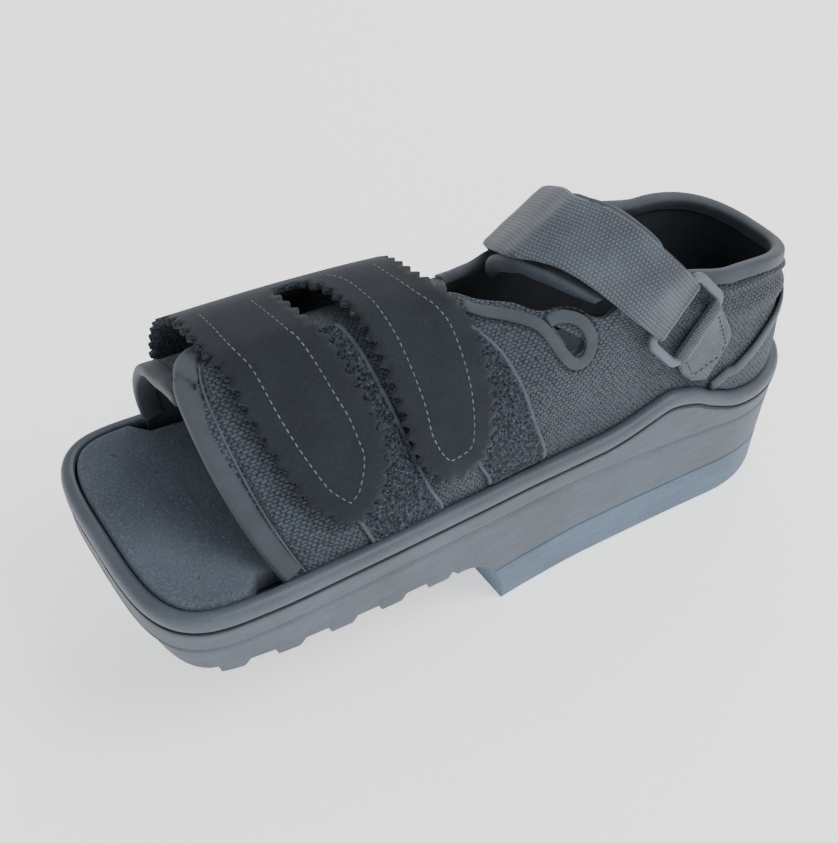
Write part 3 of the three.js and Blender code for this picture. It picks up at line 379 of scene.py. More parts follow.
    def across(self, q: float, w: float, strap: bool = False) -> Place:
        """Returns a place by station and w: 0 the near base, 1 the ridge, 2 the far base."""
        if w <= 1:
            return Place(1, q, w, 0, strap)
        if q > self.throat_start:
            stretch = (self.opening(-1) - self.throat_start) / (self.opening(1) - self.throat_start)
            q = self.throat_start + (q - self.throat_start) * stretch
        return Place(-1, q, 2 - w, 0, strap)

    def at_height(self, side: int, q: float, z: float, turn: float = 0.0) -> Place:
        """Returns the place of a side's wall that has the height z."""
        station = max(q, self.heel_round)
        base = self.base(lerp(station, 0, turn))
        power = (self.near_power if side > 0 else self.far_power)(station / self.length)
        rise = clamp((z - base) / (self.ridge(station) - base))
        return Place(side, q, asin(rise ** (power / 2)) * 2 / pi, turn)


class Panel:
    """Rows of a sheet's face, back and flat map, filled point by point."""

    def __init__(self) -> None:
        """Starts with no rows."""
        self.face: list[list[Vector]] = []
        self.back: list[list[Vector]] = []
        self.flat: list[list[Point]] = []

    def row(self) -> None:
        """Starts a new row."""
        for rows in (self.face, self.back, self.flat):
            rows.append([])

    def add(self, face: Vector, back: Vector, flat: Point) -> None:
        """Adds a point to the last row."""
        self.face[-1].append(face)
        self.back[-1].append(back)
        self.flat[-1].append(flat)


class MeshMaker:
    """Collects points, faces, face slots and a flat map in millimetres for one piece."""

    def __init__(self) -> None:
        """Starts with nothing in it."""
        self.points: list[Vector] = []
        self.faces: list[tuple[int, ...]] = []
        self.slots: list[int] = []
        self.flat: list[tuple[float, float]] = []

    def add(self, points: Line, flat: Optional[Sequence[Point]] = None) -> int:
        """Adds points and returns the index of the first.

        Args:
            points: places in millimetres.
            flat: the same points on the piece's flat map.
        """
        start = len(self.points)
        self.points.extend(points)
        self.flat.extend([tuple(p) for p in flat] if flat else [(0.0, 0.0)] * len(points))
        return start

    def face(self, corners: Sequence[int], slot: int = 0) -> None:
        """Adds one face, unless two of its corners are the same."""
        if len(set(corners)) == len(corners):
            self.faces.append(tuple(corners))
            self.slots.append(slot)

    def grid(
        self,
        rows: Grid,
        flat: Optional[Sequence[Sequence[Point]]] = None,
        slot: int = 0,
        close_rows: bool = False,
        close_columns: bool = False,
        flip: bool = False,
    ) -> int:
        """Adds a grid of points with its faces and returns the index of the first point.

        Args:
            rows: rows of points of one length.
            flat: the same rows on the flat map.
            slot: material slot of the faces.
            close_rows: joins the last row to the first.
            close_columns: joins the last column to the first.
            flip: turns the faces over.
        """
        count = len(rows[0])
        flat_run = [p for row in flat for p in row] if flat else None
        start = self.add([p for row in rows for p in row], flat_run)
        for i in range(len(rows) - (0 if close_rows else 1)):
            for j in range(count - (0 if close_columns else 1)):
                a = start + i * count + j
                b = start + i * count + (j + 1) % count
                c = start + ((i + 1) % len(rows)) * count + (j + 1) % count
                d = start + ((i + 1) % len(rows)) * count + j
                self.face((a, d, c, b) if flip else (a, b, c, d), slot)
        return start

    def tube(self, path: Line, radius: float, sides: int = 6) -> None:
        """Adds a round rod with domed ends along a path.

        Args:
            path: middle line in millimetres.
            radius: half of the rod's thickness.
            sides: how many faces go round it.
        """
        rings = []
        angles = [tau * k / sides for k in range(sides)]
        axis = (path[1] - path[0]).normalized()
        side = axis.orthogonal().normalized()
        for i, point in enumerate(path):
            axis = heading(path, i).normalized()
            side = (side - axis * side.dot(axis)).normalized()
            other = axis.cross(side)
            shrink = 0.6 if i in (0, len(path) - 1) else 1.0
            rings.append([point + (side * cos(a) + other * sin(a)) * radius * shrink for a in angles])
        self.sweep(rings)

    def sweep(self, rings: Grid, flat: Optional[Sequence[Sequence[Point]]] = None) -> None:
        """Adds a closed skin through rings of points, with flat ends.

        Args:
            rings: rings of one length.
            flat: the same rings on the flat map.
        """
        start = self.grid(rings, flat, close_columns=True)
        count = len(rings[0])
        last = start + (len(rings) - 1) * count
        self.face([start + k for k in reversed(range(count))])
        self.face([last + k for k in range(count)])

    def sheet(self, panel: "Panel", back: int = 0, edge: int = 0) -> None:
        """Adds a panel's face and back, joined round their edges.

        Args:
            panel: its rows.
            back: material slot of the back.
            edge: material slot of the edges.
        """
        a = self.grid(panel.face, panel.flat)
        b = self.grid(panel.back, panel.flat, back, flip=True)
        rows, count = len(panel.face), len(panel.face[0])
        rim = [(i * count + j, (i + 1) * count + j) for i in range(rows - 1) for j in (0, count - 1)]
        rim += [(i * count + j, i * count + j + 1) for i in (0, rows - 1) for j in range(count - 1)]
        for p, q in rim:
            self.face((a + p, a + q, b + q, b + p), edge)

    def build(self, name: str, finishes: Sequence[Material], weld: float = 0.002) -> Piece:
        """Makes the Blender object in metres.

        Args:
            name: the piece's name.
            finishes: its materials, by slot.
            weld: points closer than this, in millimetres, are joined.

        Returns:
            The new object, shaded smooth, with its faces turned outward.
        """
        shift = Vector((-(LAST.block_start + LAST.block_end) / 2, 0, 0))
        mesh = bpy.data.meshes.new(name)
        mesh.from_pydata([(p + shift) * MM for p in self.points], [], self.faces)
        layer = mesh.uv_layers.new(name="flat")
        for loop in mesh.loops:
            u, v = self.flat[loop.vertex_index]
            layer.data[loop.index].uv = (u * MM, v * MM)
        for polygon, slot in zip(mesh.polygons, self.slots):
            polygon.material_index = slot
        work = bmesh.new()
        work.from_mesh(mesh)
        bmesh.ops.remove_doubles(work, verts=work.verts, dist=weld * MM)
        bmesh.ops.recalc_face_normals(work, faces=work.faces)
        work.to_mesh(mesh)
        work.free()
        mesh.shade_smooth()
        piece = bpy.data.objects.new(name, mesh)
        bpy.context.scene.collection.objects.link(piece)
        for finish in finishes:
            mesh.materials.append(finish)
        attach(piece, BODY)
        return piece


LAST = Last()

Value = Union["Maths", float]


class Maths:
    """A shader value that adds Math nodes when it is used in an expression."""

    def __init__(self, shader: "Shader", socket: Socket) -> None:
        """Wraps an output socket of a shader's nodes."""
        self.shader = shader
        self.socket = socket

    def _math(self, operation: str, *values: Value) -> "Maths":
        """Returns the output of a new Math node."""
        node = self.shader.node("ShaderNodeMath", {"operation": operation}, dict(enumerate(values)))
        return Maths(self.shader, node.outputs[0])

    def __add__(self, other: Value) -> "Maths":
        """Returns self plus other."""
        return self._math("ADD", self, other)

    __radd__ = __add__

    def __sub__(self, other: Value) -> "Maths":
        """Returns self minus other."""
        return self._math("SUBTRACT", self, other)

    def __rsub__(self, other: Value) -> "Maths":
        """Returns other minus self."""
        return self._math("SUBTRACT", other, self)

    def __mul__(self, other: Value) -> "Maths":
        """Returns self times other."""
        return self._math("MULTIPLY", self, other)

    __rmul__ = __mul__

    def __truediv__(self, other: Value) -> "Maths":
        """Returns self over other."""
        return self._math("DIVIDE", self, other)

    def sine(self) -> "Maths":
        """Returns the sine of the value."""
        return self._math("SINE", self)

    def fraction(self) -> "Maths":
        """Returns the part after the decimal point."""
        return self._math("FRACT", self)

    def floor(self) -> "Maths":
        """Returns the next lower whole number."""
        return self._math("FLOOR", self)

    def size(self) -> "Maths":
        """Returns the value without its sign."""
        return self._math("ABSOLUTE", self)

    def power(self, exponent: float) -> "Maths":
        """Returns the value raised to an exponent."""
        return self._math("POWER", self, exponent)

    def highest(self, other: Value) -> "Maths":
        """Returns the higher of self and other."""
        return self._math("MAXIMUM", self, other)

    def step(self, low: float, high: float) -> "Maths":
        """Returns a smooth step from 0 at low to 1 at high."""
        node = self.shader.node(
            "ShaderNodeMapRange",
            {"interpolation_type": "SMOOTHSTEP"},
            {"Value": self, "From Min": low, "From Max": high},
        )
        return Maths(self.shader, node.outputs["Result"])


Input = Union[Maths, Socket, float, Sequence[float]]


class Shader:
    """Builds one material from its nodes."""

    def __init__(self, name: str) -> None:
        """Makes a material with an empty Principled surface."""
        self.material = bpy.data.materials.new(name)
        self.material.use_nodes = True
        self.tree = self.material.node_tree
        self.surface = next(n for n in self.tree.nodes if n.type == "BSDF_PRINCIPLED")

    def node(self, kind: str, settings: dict, inputs: dict) -> bpy.types.Node:
        """Adds a node.

        Args:
            kind: the node's type.
            settings: its properties, set before its sockets.
            inputs: values or links by socket name or index.

        Returns:
            The new node.
        """
        node = self.tree.nodes.new(kind)
        for name, value in settings.items():
            setattr(node, name, value)
        for name, value in inputs.items():
            self.link(node.inputs[name], value)
        return node

    def link(self, socket: Socket, value: Input) -> None:
        """Gives a socket a link or a plain value."""
        if isinstance(value, Maths):
            self.tree.links.new(value.socket, socket)
        elif isinstance(value, Socket):
            self.tree.links.new(value, socket)
        else:
            socket.default_value = value

    def place(self) -> Socket:
        """Returns the object's own coordinates, in metres."""
        return self.node("ShaderNodeTexCoord", {}, {}).outputs["Object"]

    def flat(self) -> tuple[Maths, Maths]:
        """Returns the two coordinates of the flat map, in millimetres."""
        uv = self.node("ShaderNodeUVMap", {"uv_map": "flat"}, {}).outputs["UV"]
        split = self.node("ShaderNodeSeparateXYZ", {}, {0: uv})
        return Maths(self, split.outputs[0]) * 1000.0, Maths(self, split.outputs[1]) * 1000.0

    def noise(self, size: float, detail: float = 2.0, rough: float = 0.5) -> Maths:
        """Returns a noise of 0 to 1 whose blots are about size millimetres wide."""
        node = self.node(
            "ShaderNodeTexNoise",
            {},
            {"Vector": self.place(), "Scale": 1000.0 / size, "Detail": detail, "Roughness": rough},
        )
        return Maths(self, node.outputs["Fac"])

    def cells(self, size: float) -> Maths:
        """Returns the distance pattern of cells about size millimetres wide."""
        node = self.node("ShaderNodeTexVoronoi", {}, {"Vector": self.place(), "Scale": 1000.0 / size})
        return Maths(self, node.outputs["Distance"])

    def blend(self, share: Input, first: Input, second: Input) -> Socket:
        """Returns a colour mixed from two colours by share."""
        node = self.node("ShaderNodeMix", {"data_type": "RGBA"}, {0: share, 6: first, 7: second})
        return node.outputs[2]

    def finish(
        self, color: Input, rough: Input, height: Input, depth: float, sheen: float = 0.0, specular: float = 0.5
    ) -> Material:
        """Sets the surface and returns the material.

        Args:
            color: its colour.
            rough: its roughness.
            height: the relief's height, 0 to 1.
            depth: the relief's depth, in millimetres.
            sheen: weight of its sheen.
            specular: strength of its gloss.
        """
        normal = self.node("ShaderNodeBump", {}, {"Height": height, "Distance": depth * MM}).outputs["Normal"]
        values = {"Base Color": color, "Roughness": rough, "Normal": normal}
        values.update({"Sheen Weight": sheen, "Specular IOR Level": specular})
        for name, value in values.items():
            self.link(self.surface.inputs[name], value)
        return self.material


@dataclass(frozen=True)
class Finish:
    """A named material with one base colour."""

    name: str
    color: Row

    def shade(self, factor: float) -> tuple[float, ...]:
        """Returns the base colour with alpha, made lighter or darker by a factor."""
        return (self.color[0] * factor, self.color[1] * factor, self.color[2] * factor, 1.0)

    def tones(self, s: Shader, share: Input, low: float, high: float) -> Socket:
        """Returns a mix by share of two shades of the base colour."""
        return s.blend(share, self.shade(low), self.shade(high))


@dataclass(frozen=True)
class Foam(Finish):
    """Moulded foam with a fine skin."""

    grain: float = 1.3
    grain_depth: float = 0.12
    streaks: float = 0.35
    roughness: float = 0.62

    def make(self) -> Material:
        """Returns the material."""
        s = Shader(self.name)
        clouds = s.noise(26, 3)
        stretch = s.node("ShaderNodeMapping", {}, {"Vector": s.place(), "Scale": (0.12, 0.12, 1.0)})
        inputs = {"Vector": stretch.outputs[0], "Scale": 420.0, "Detail": 3.0, "Roughness": 0.6}
        streak = Maths(s, s.node("ShaderNodeTexNoise", {}, inputs).outputs["Fac"])
        fine = s.noise(self.grain, 3, 0.65)
        specks = s.noise(1.0, 2, 0.8).step(0.6, 0.7)
        tone = clouds * 0.5 + streak * self.streaks + fine * 0.3
        base = self.tones(s, tone.step(0.3, 0.9), 0.66, 1.24)
        color = s.blend(specks * 0.22, base, self.shade(1.7))
        rough = self.roughness + clouds * 0.18 - 0.09
        return s.finish(color, rough, fine * 0.7 + streak * 0.3, self.grain_depth, specular=0.42)


@dataclass(frozen=True)
class FootbedCloth(Finish):
    """Cloth-faced foam of the footbed, with light specks."""

    def make(self) -> Material:
        """Returns the material."""
        s = Shader(self.name)
        clouds = s.noise(38, 3)
        nap = s.noise(0.8, 4, 0.75)
        specks = s.noise(1.0, 2, 0.8).step(0.53, 0.66)
        base = self.tones(s, (clouds * 0.5 + nap * 0.7).step(0.35, 0.85), 0.55, 1.35)
        return s.finish(s.blend(specks * 0.5, base, self.shade(2.1)), 0.94, nap, 0.35, sheen=0.12, specular=0.2)


@dataclass(frozen=True)
class BasketMesh(Finish):
    """Padded spacer mesh: short bars in staggered rows over a dark ground."""

    bar: float = 2.3
    row: float = 1.25

    def make(self) -> Material:
        """Returns the material."""
        s = Shader(self.name)
        u, v = s.flat()
        wobble = s.noise(2.4, 2) - 0.5
        rows = (v + wobble * 1.3) / self.row
        along = ((u + wobble * 2.2) / self.bar + rows.floor() * 0.5).fraction()
        bar = 1.0 - ((along - 0.5) * 2.0).size().power(3.0)
        rib = 1.0 - ((rows.fraction() - 0.5) * 2.0).size().power(2.5)
        hole = ((along - 0.02).size() * -1.0 + 1.0).power(6.0)
        thread = (bar * rib).highest(0.0)
        fibre = s.noise(0.35, 2, 0.7)
        worn = s.noise(1.9, 2, 0.75)
        tone = thread * 0.36 + fibre * 0.5 + worn * 1.0 + s.noise(22, 2) * 0.25 - hole * 0.35
        color = self.tones(s, tone.step(0.5, 1.4), 0.22, 2.2)
        return s.finish(color, 0.8, thread * 0.8 + fibre * 0.25 - hole * 0.3, 0.45, sheen=0.1, specular=0.28)


@dataclass(frozen=True)
class LoopPile(Finish):
    """Brushed loop pile: tangled dark fibres with light tips."""

    def make(self) -> Material:
        """Returns the material."""
        s = Shader(self.name)
        curls = s.cells(1.35)
        fibre = s.noise(0.8, 3, 0.8)
        tips = s.noise(0.85, 2, 0.75).step(0.55, 0.72)
        base = self.tones(s, (curls * 0.9 + fibre * 0.9).step(0.45, 1.35), 0.12, 1.7)
        color = s.blend(tips, base, self.shade(4.4))
        return s.finish(color, 0.95, fibre * 0.6 + curls * 0.6, 0.5, sheen=0.05, specular=0.2)


@dataclass(frozen=True)
class Suede(Finish):
    """Laminated strap fabric with a napped face."""

    def make(self) -> Material:
        """Returns the material."""
        s = Shader(self.name)
        clouds = s.noise(14, 3)
        nap = s.noise(0.9, 3, 0.8)
        lint = s.noise(1.1, 1).step(0.74, 0.8)
        base = self.tones(s, (clouds * 0.5 + nap * 0.7).step(0.35, 0.85), 0.6, 1.35)
        return s.finish(s.blend(lint * 0.35, base, self.shade(3.0)), 0.78, nap, 0.12, sheen=0.07, specular=0.24)


@dataclass(frozen=True)
class Tape(Finish):
    """Smooth folded binding with a fine diagonal rib."""

    rib: float = 0.75

    def make(self) -> Material:
        """Returns the material."""
        s = Shader(self.name)
        u, v = s.flat()
        rib = ((u + v * 0.8) * (tau / self.rib)).sine() * 0.5 + 0.5
        fibre = s.noise(0.4, 2, 0.7)
        tone = (s.noise(11, 3) * 0.8 + fibre * 0.35 + rib * 0.12).step(0.3, 1.0)
        color = self.tones(s, tone, 0.68, 1.28)
        return s.finish(color, 0.62, rib * 0.5 + fibre * 0.5, 0.12, sheen=0.1, specular=0.38)


@dataclass(frozen=True)
class KnitStrap(Finish):
    """Strap face: rows of small knitted dots that fade where the face is plain."""

    pitch: float = 1.5
    plain_from: float = -1000.0
    plain_to: float = -999.0

    def make(self) -> Material:
        """Returns the material."""
        s = Shader(self.name)
        u, v = s.flat()
        rows = v / self.pitch
        along = (u / self.pitch + rows.floor() * 0.5).fraction() - 0.5
        up = rows.fraction() - 0.5
        dot = (1.0 - (along * along + up * up) * 5.0).highest(0.0)
        knit = u.step(self.plain_from, self.plain_to)
        fibre = s.noise(0.4, 3, 0.7)
        tone = (s.noise(16, 3) * 0.6 + fibre * 0.5 + dot * knit * 0.4).step(0.3, 1.3)
        color = self.tones(s, tone, 0.42, 1.75)
        return s.finish(color, 0.6, dot * knit * 0.7 + fibre * 0.3, 0.4, sheen=0.12, specular=0.4)


@dataclass(frozen=True)
class SoftCloth(Finish):
    """Plain padded cloth with a soft face."""

    size: float = 0.7
    spread: float = 0.35

    def make(self) -> Material:
        """Returns the material."""
        s = Shader(self.name)
        fibre = s.noise(self.size, 3, 0.7)
        tone = (s.noise(12, 3) * 0.8 + fibre * 0.4).step(0.3, 0.95)
        color = self.tones(s, tone, 1 - self.spread, 1 + self.spread)
        return s.finish(color, 0.85, fibre, 0.2, sheen=0.12, specular=0.25)


@dataclass(frozen=True)
class Moulded(Finish):
    """Moulded plastic of the ring."""

    def make(self) -> Material:
        """Returns the material."""
        s = Shader(self.name)
        fine = s.noise(0.7, 2)
        return s.finish(self.tones(s, s.noise(9, 2), 0.8, 1.2), 0.4 + fine * 0.15, fine, 0.05)


class Tone(Enum):
    """Base colours of the shoe, in linear light."""

    SOLE = (0.074, 0.089, 0.108)
    # real tread foam, near the sole's grey; its blue tint and extra lightness are a painted reflection of the
    # pale floor
    TREAD_PAINTED_REFLECTION = (0.09, 0.13, 0.182)
    WELT = (0.066, 0.081, 0.1)
    FOOTBED = (0.064, 0.079, 0.098)
    MESH = (0.024, 0.0305, 0.0385)
    LINING = (0.008, 0.011, 0.016)
    PILE = (0.02, 0.025, 0.032)
    STRAP = (0.0095, 0.0128, 0.0178)
    TAPE = (0.031, 0.039, 0.049)
    DARK_TAPE = (0.042, 0.052, 0.066)
    KNIT = (0.06, 0.073, 0.09)
    PADDING = (0.03, 0.038, 0.048)
    RING = (0.075, 0.09, 0.11)
    THREAD = (0.11, 0.135, 0.16)
    DARK_THREAD = (0.02, 0.026, 0.034)
    SELVAGE = (0.055, 0.068, 0.083)


class Finishes:
    """All materials of the shoe, made once."""

    def __init__(self) -> None:
        """Makes every finish."""
        self.sole = Foam("sole_foam", Tone.SOLE.value).make()
        # tread foam whose bluish, lighter colour is a painted reflection of the floor
        self.tread = Foam("tread_foam", Tone.TREAD_PAINTED_REFLECTION.value, roughness=0.7).make()
        self.welt = Foam("welt_foam", Tone.WELT.value, grain_depth=0.05, streaks=0.2, roughness=0.5).make()
        self.footbed = FootbedCloth("footbed_cloth", Tone.FOOTBED.value).make()
        self.mesh = BasketMesh("basket_mesh", Tone.MESH.value).make()
        self.lining = SoftCloth("lining", Tone.LINING.value, spread=0.5).make()
        self.pile = LoopPile("loop_pile", Tone.PILE.value).make()
        self.strap = Suede("strap_face", Tone.STRAP.value).make()
        self.tape = Tape("binding_tape", Tone.TAPE.value).make()
        self.dark_tape = Tape("dark_tape", Tone.DARK_TAPE.value).make()
        self.knit = KnitStrap("knit_strap", Tone.KNIT.value, plain_from=52, plain_to=72).make()
        self.tab = KnitStrap("knit_tab", Tone.KNIT.value, pitch=1.1).make()
        self.padding = SoftCloth("pad_cloth", Tone.PADDING.value).make()
        self.ring = Moulded("ring_plastic", Tone.RING.value).make()
        self.thread = SoftCloth("thread", Tone.THREAD.value, size=0.3).make()
        self.dark_thread = SoftCloth("dark_thread", Tone.DARK_THREAD.value, size=0.3).make()
        self.selvage = SoftCloth("selvage", Tone.SELVAGE.value, size=0.4).make()


@dataclass(frozen=True)
class Stitch:
    """One stitch: its pitch, its length, half its thickness and its middle's height, in millimetres."""

    pitch: float = 2.6
    length: float = 1.9
    radius: float = 0.22
    lift: float = 0.3


def stitch_row(name: str, finish: Material, paths: Grid, normals: Grid, stitch: Stitch = Stitch()) -> Piece:
    """Makes rows of thread stitches that lie on a surface.

    Args:
        name: the piece's name.
        finish: the thread's material.
        paths: lines of points on the surface, one for each row.
        normals: the surface's outward directions at those points.
        stitch: the stitches' sizes.

    Returns:
        The new piece.
    """
    maker = MeshMaker()
    for path, faces in zip(paths, normals):
        total = run_lengths(path)
        count = int(total[-1] / stitch.pitch)

        def at(run: float) -> Vector:
            """Returns the raised point at a length along the row."""
            i = clamp(bisect_left(total, run) - 1, 0, len(path) - 2)
            t = clamp((run - total[i]) / (total[i + 1] - total[i] or 1))
            return path[i].lerp(path[i + 1], t) + faces[i].lerp(faces[i + 1], t) * stitch.lift

        for k in range(count):
            start = (k + 0.5) * stitch.pitch - stitch.length / 2
            stops = [at(start + stitch.length * t) for t in (0, 0.3, 0.7, 1)]
            face = faces[clamp(bisect_left(total, start) - 1, 0, len(path) - 1)]
            stops[0] -= face * stitch.radius * 1.1
            stops[-1] -= face * stitch.radius * 1.1
            maker.tube(stops, stitch.radius)
    return maker.build(name, [finish], weld=0.0001)


@dataclass
class SoleUnit:
    """Sole, heel tread, welt and footbed."""

    finishes: Finishes
    cup_wall: float = 4.3
    draft: float = 3.4
    foot_draft: float = 0.72
    line_draft: float = 0.22
    block_curl: float = 6.0
    arch_run: float = 24.0
    arch_height: float = 28.5
    forefoot_rise: float = 0.105
    toe_bevel: float = 14.0
    lug_count: int = 5
    lug_pitch: float = 21.2
    lug_length: float = 9.6
    lug_depth: float = 2.6
    lug_start: float = 182.0
    tread_height: float = 18.0
    gap: float = 0.3
    mould_drop: float = 8.45
    mould_depth: float = 0.35
    footbed_inset: float = 12.0
    footbed_toe_inset: float = 5.2
    footbed_thickness: float = 9.3
    welt_bulge: float = 0.8
    seam_radius: float = 0.5
    fine: float = 1.5
    tread_face_steps: int = 14

    def under(self, x: float) -> float:
        """Returns the height of the underside at a station."""
        if x < LAST.block_start:
            return self.block_curl * (1 - x / LAST.block_start) ** 2
        if x <= LAST.block_end:
            return 0.0
        arch_end = LAST.block_end + self.arch_run
        if x < arch_end:
            share = 1 - (x - LAST.block_end) / self.arch_run
            return self.arch_height * sqrt(max(1 - share * share, 0))
        slope = self.arch_height + self.forefoot_rise * (x - arch_end)
        last_front = self.lug_start + (self.lug_count - 1) * self.lug_pitch + self.lug_length
        if x > last_front:
            share = (x - last_front) / (LAST.length - last_front)
            start = self.arch_height + self.forefoot_rise * (last_front - arch_end) + self.lug_depth
            return start + self.toe_bevel * (1 - sqrt(max(1 - share * share * 0.98, 0)))
        raised = smooth(x, arch_end, self.lug_start - self.lug_depth) * self.lug_depth
        for i in range(self.lug_count):
            rear = self.lug_start + i * self.lug_pitch
            front = rear + self.lug_length
            if rear - self.lug_depth < x < front + self.lug_depth / 2:
                rise = smooth(x, rear - self.lug_depth, rear) * (1 - smooth(x, front - 1.3, front))
                raised = self.lug_depth * (1 - rise)
        return slope + raised

    def stations(self) -> list[float]:
        """Returns the stations of the outline's points, from the toe tip to the heel tip."""
        ends = 46
        toe = [
            LAST.length - LAST.toe_round * (1 - cos(k / ends * pi / 2) ** (2 / LAST.toe_power))
            for k in range(ends)
        ]
        count = int((LAST.length - LAST.toe_round - LAST.heel_round) / self.fine)
        body = [lerp(LAST.length - LAST.toe_round, LAST.heel_round, k / count) for k in range(count)]
        heel = [
            LAST.heel_round * (1 - sin(k / ends * pi / 2) ** (2 / LAST.heel_power)) for k in range(ends + 1)
        ]
        dense = []
        for i in range(self.lug_count):
            rear = self.lug_start + i * self.lug_pitch
            front = rear + self.lug_length
            dense += [rear - self.lug_depth + 0.4, rear - self.lug_depth / 2, rear]
            dense += [front - 1.3, front - 0.6, front, front + 0.8]
        dense += [LAST.block_end + self.arch_run * (1 - cos(k / 12 * pi / 2)) for k in range(13)]
        return sorted(set(round(x, 3) for x in toe + body + heel + dense), reverse=True)

    def outline(self, x: float, inset: float) -> tuple[float, float]:
        """Returns the outline's x and y at a station, moved in by inset."""
        step = 0.05
        ahead, behind = min(x + step, LAST.length), max(x - step, 0.0)
        nx = -(LAST.half_width(ahead) - LAST.half_width(behind))
        ny = ahead - behind
        if x >= LAST.length - 1e-6:
            nx, ny = 1.0, 0.0
        if x <= 1e-6:
            nx, ny = -1.0, 0.0
        size = hypot(nx, ny)
        return x - inset * nx / size, max(LAST.half_width(x) - inset * ny / size, 0.0)

    def loop(self, inset: float, height: Height, more: Optional[Height] = None) -> list[Vector]:
        """Returns a closed loop round the outline.

        Args:
            inset: distance in from the outline.
            height: height by station.
            more: further inset by station.
        """
        xs = self.stations()
        left = []
        for i, x in enumerate(xs):
            px, py = self.outline(x, inset + (more(x) if more else 0.0))
            left.append(Vector((px, 0 if i in (0, len(xs) - 1) else py, height(x))))
        return left + [Vector((p.x, -p.y, p.z)) for p in reversed(left[1:-1])]

    def lid(self, maker: MeshMaker, start: int, count: int) -> None:
        """Closes a loop with strips between its left and right points."""
        for i in range(count // 2):
            right, right_ahead = start + (count - i) % count, start + (count - i - 1) % count
            maker.face(list(dict.fromkeys((start + i, start + i + 1, right_ahead, right))))

    def stack(self, name: str, loops: Grid, finish: Material) -> Piece:
        """Makes a closed piece from stacked loops.

        Args:
            name: the piece's name.
            loops: loops of one length, from one end to the other.
            finish: its material.

        Returns:
            The new piece.
        """
        maker = MeshMaker()
        count = len(loops[0])
        start = maker.grid(loops, stacked_map(loops), close_columns=True)
        self.lid(maker, start, count)
        self.lid(maker, start + (len(loops) - 1) * count, count)
        return maker.build(name, [finish])

    def bottom(self, x: float) -> float:
        """Returns the sole's lowest height, which is the tread's top over the block."""
        return max(self.under(x), self.tread_height + self.gap)

    def build_sole(self) -> Piece:
        """Makes the sole with its moulding line and rounded edges."""
        loops = []

        def level(inset: float, height: Height) -> None:
            """Adds a loop whose draft follows its height."""
            loops.append(self.loop(inset, height))

        def drop(x: float) -> float:
            """Returns the height of the moulding line."""
            return LAST.groove_line(x) - self.mould_drop

        for rise, extra in ((0.0, 1.3), (0.25, 0.5), (0.8, 0.1), (1.5, 0.0)):
            level(self.draft * self.foot_draft + extra, lambda x, r=rise: self.bottom(x) + r)
        for share in (0.15, 0.35, 0.6, 0.85):
            level(
                self.draft * lerp(self.foot_draft, 0.25, share),
                lambda x, t=share: lerp(self.bottom(x) + 1.5, drop(x) - 0.6, t),
            )
        for away, cut in ((-0.6, 0), (-0.2, 1), (0.2, 1), (0.6, 0)):
            level(self.draft * self.line_draft + self.mould_depth * cut, lambda x, a=away: drop(x) + a)
        for share in (0.25, 0.5, 0.75, 1.0):
            inset = self.draft * self.line_draft * (1 - share)
            level(inset, lambda x, t=share: lerp(drop(x) + 0.6, LAST.groove(x) - 1.5, t))
        for inset, away in ((0.1, -1.0), (0.45, -0.55), (1.1, -0.25), (1.5, 0.0), (self.cup_wall, 0.0)):
            level(inset, lambda x, a=away: LAST.groove(x) + a)
        level(self.cup_wall, LAST.ledge)
        piece = self.stack("sole_body", loops, self.finishes.sole)
        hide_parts("sole")
        return piece

    def build_tread(self) -> Piece:
        """Makes the heel's tread layer with its hollow front face."""
        maker = MeshMaker()
        base = [x for x in self.stations() if x <= LAST.block_end]
        rises = [(0.0, 1.1), (0.2, 0.45), (0.7, 0.1), (1.6, 0.0), (6, 0), (10, 0), (14, 0)]
        rises += [(17.6, 0), (18.0, 0.15)]
        loops = []
        for rise, extra in rises:
            share = rise / self.tread_height
            front = LAST.block_end + self.arch_run * (1 - sqrt(1 - (rise / self.arch_height) ** 2))
            left = []
            for i, x in enumerate(base):
                moved = x
                if x > LAST.heel_round:
                    part = (x - LAST.heel_round) / (LAST.block_end - LAST.heel_round)
                    moved = lerp(LAST.heel_round, front, part)
                px, py = self.outline(moved, self.draft * lerp(1.0, 0.74, share) + extra)
                z = lerp(self.under(moved) if moved < LAST.block_end else 0.0, self.tread_height, share)
                left.append(Vector((px, 0 if i == len(base) - 1 else py, z)))
            mirrored = [Vector((p.x, -p.y, p.z)) for p in left]
            steps = self.tread_face_steps
            face = [left[0].lerp(mirrored[0], k / steps) for k in range(steps - 1, 0, -1)]
            loops.append(left + list(reversed(mirrored[:-1])) + face)
        maker.sweep(loops, stacked_map(loops))
        piece = maker.build("tread_layer", [self.finishes.tread])
        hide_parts("heel_tread")
        return piece

    def build_welt(self) -> Piece:
        """Makes the bead round the top of the sole's side."""
        section = [
            (self.cup_wall, 0.02), (2.4, 0.0), (0.9, 0.02), (0.1, 0.07), (-0.45, 0.18), (-0.72, 0.32),
            (-self.welt_bulge, 0.46), (-0.7, 0.6), (-0.42, 0.73), (0.1, 0.85), (0.8, 0.94), (1.7, 0.985),
            (2.7, 1.0), (3.6, 0.97), (self.cup_wall, 0.9),
        ]
        height = LAST.welt_height - self.gap
        loops = [
            self.loop(inset, lambda x, r=rise: LAST.groove(x) + self.gap + r * height)
            for inset, rise in section
        ]
        maker = MeshMaker()
        maker.grid(loops, stacked_map(loops), close_rows=True, close_columns=True)
        piece = maker.build("welt_bead", [self.finishes.welt])
        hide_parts("welt")
        return piece

    def build_seam_and_groove_shade(self) -> None:
        """Makes a dark tube between the sole's side and the welt: the seam's dark thread together with painted
        shade in the sunk groove.
        """
        path = self.loop(0.02, lambda x: LAST.groove(x) + 0.1)
        maker = MeshMaker()
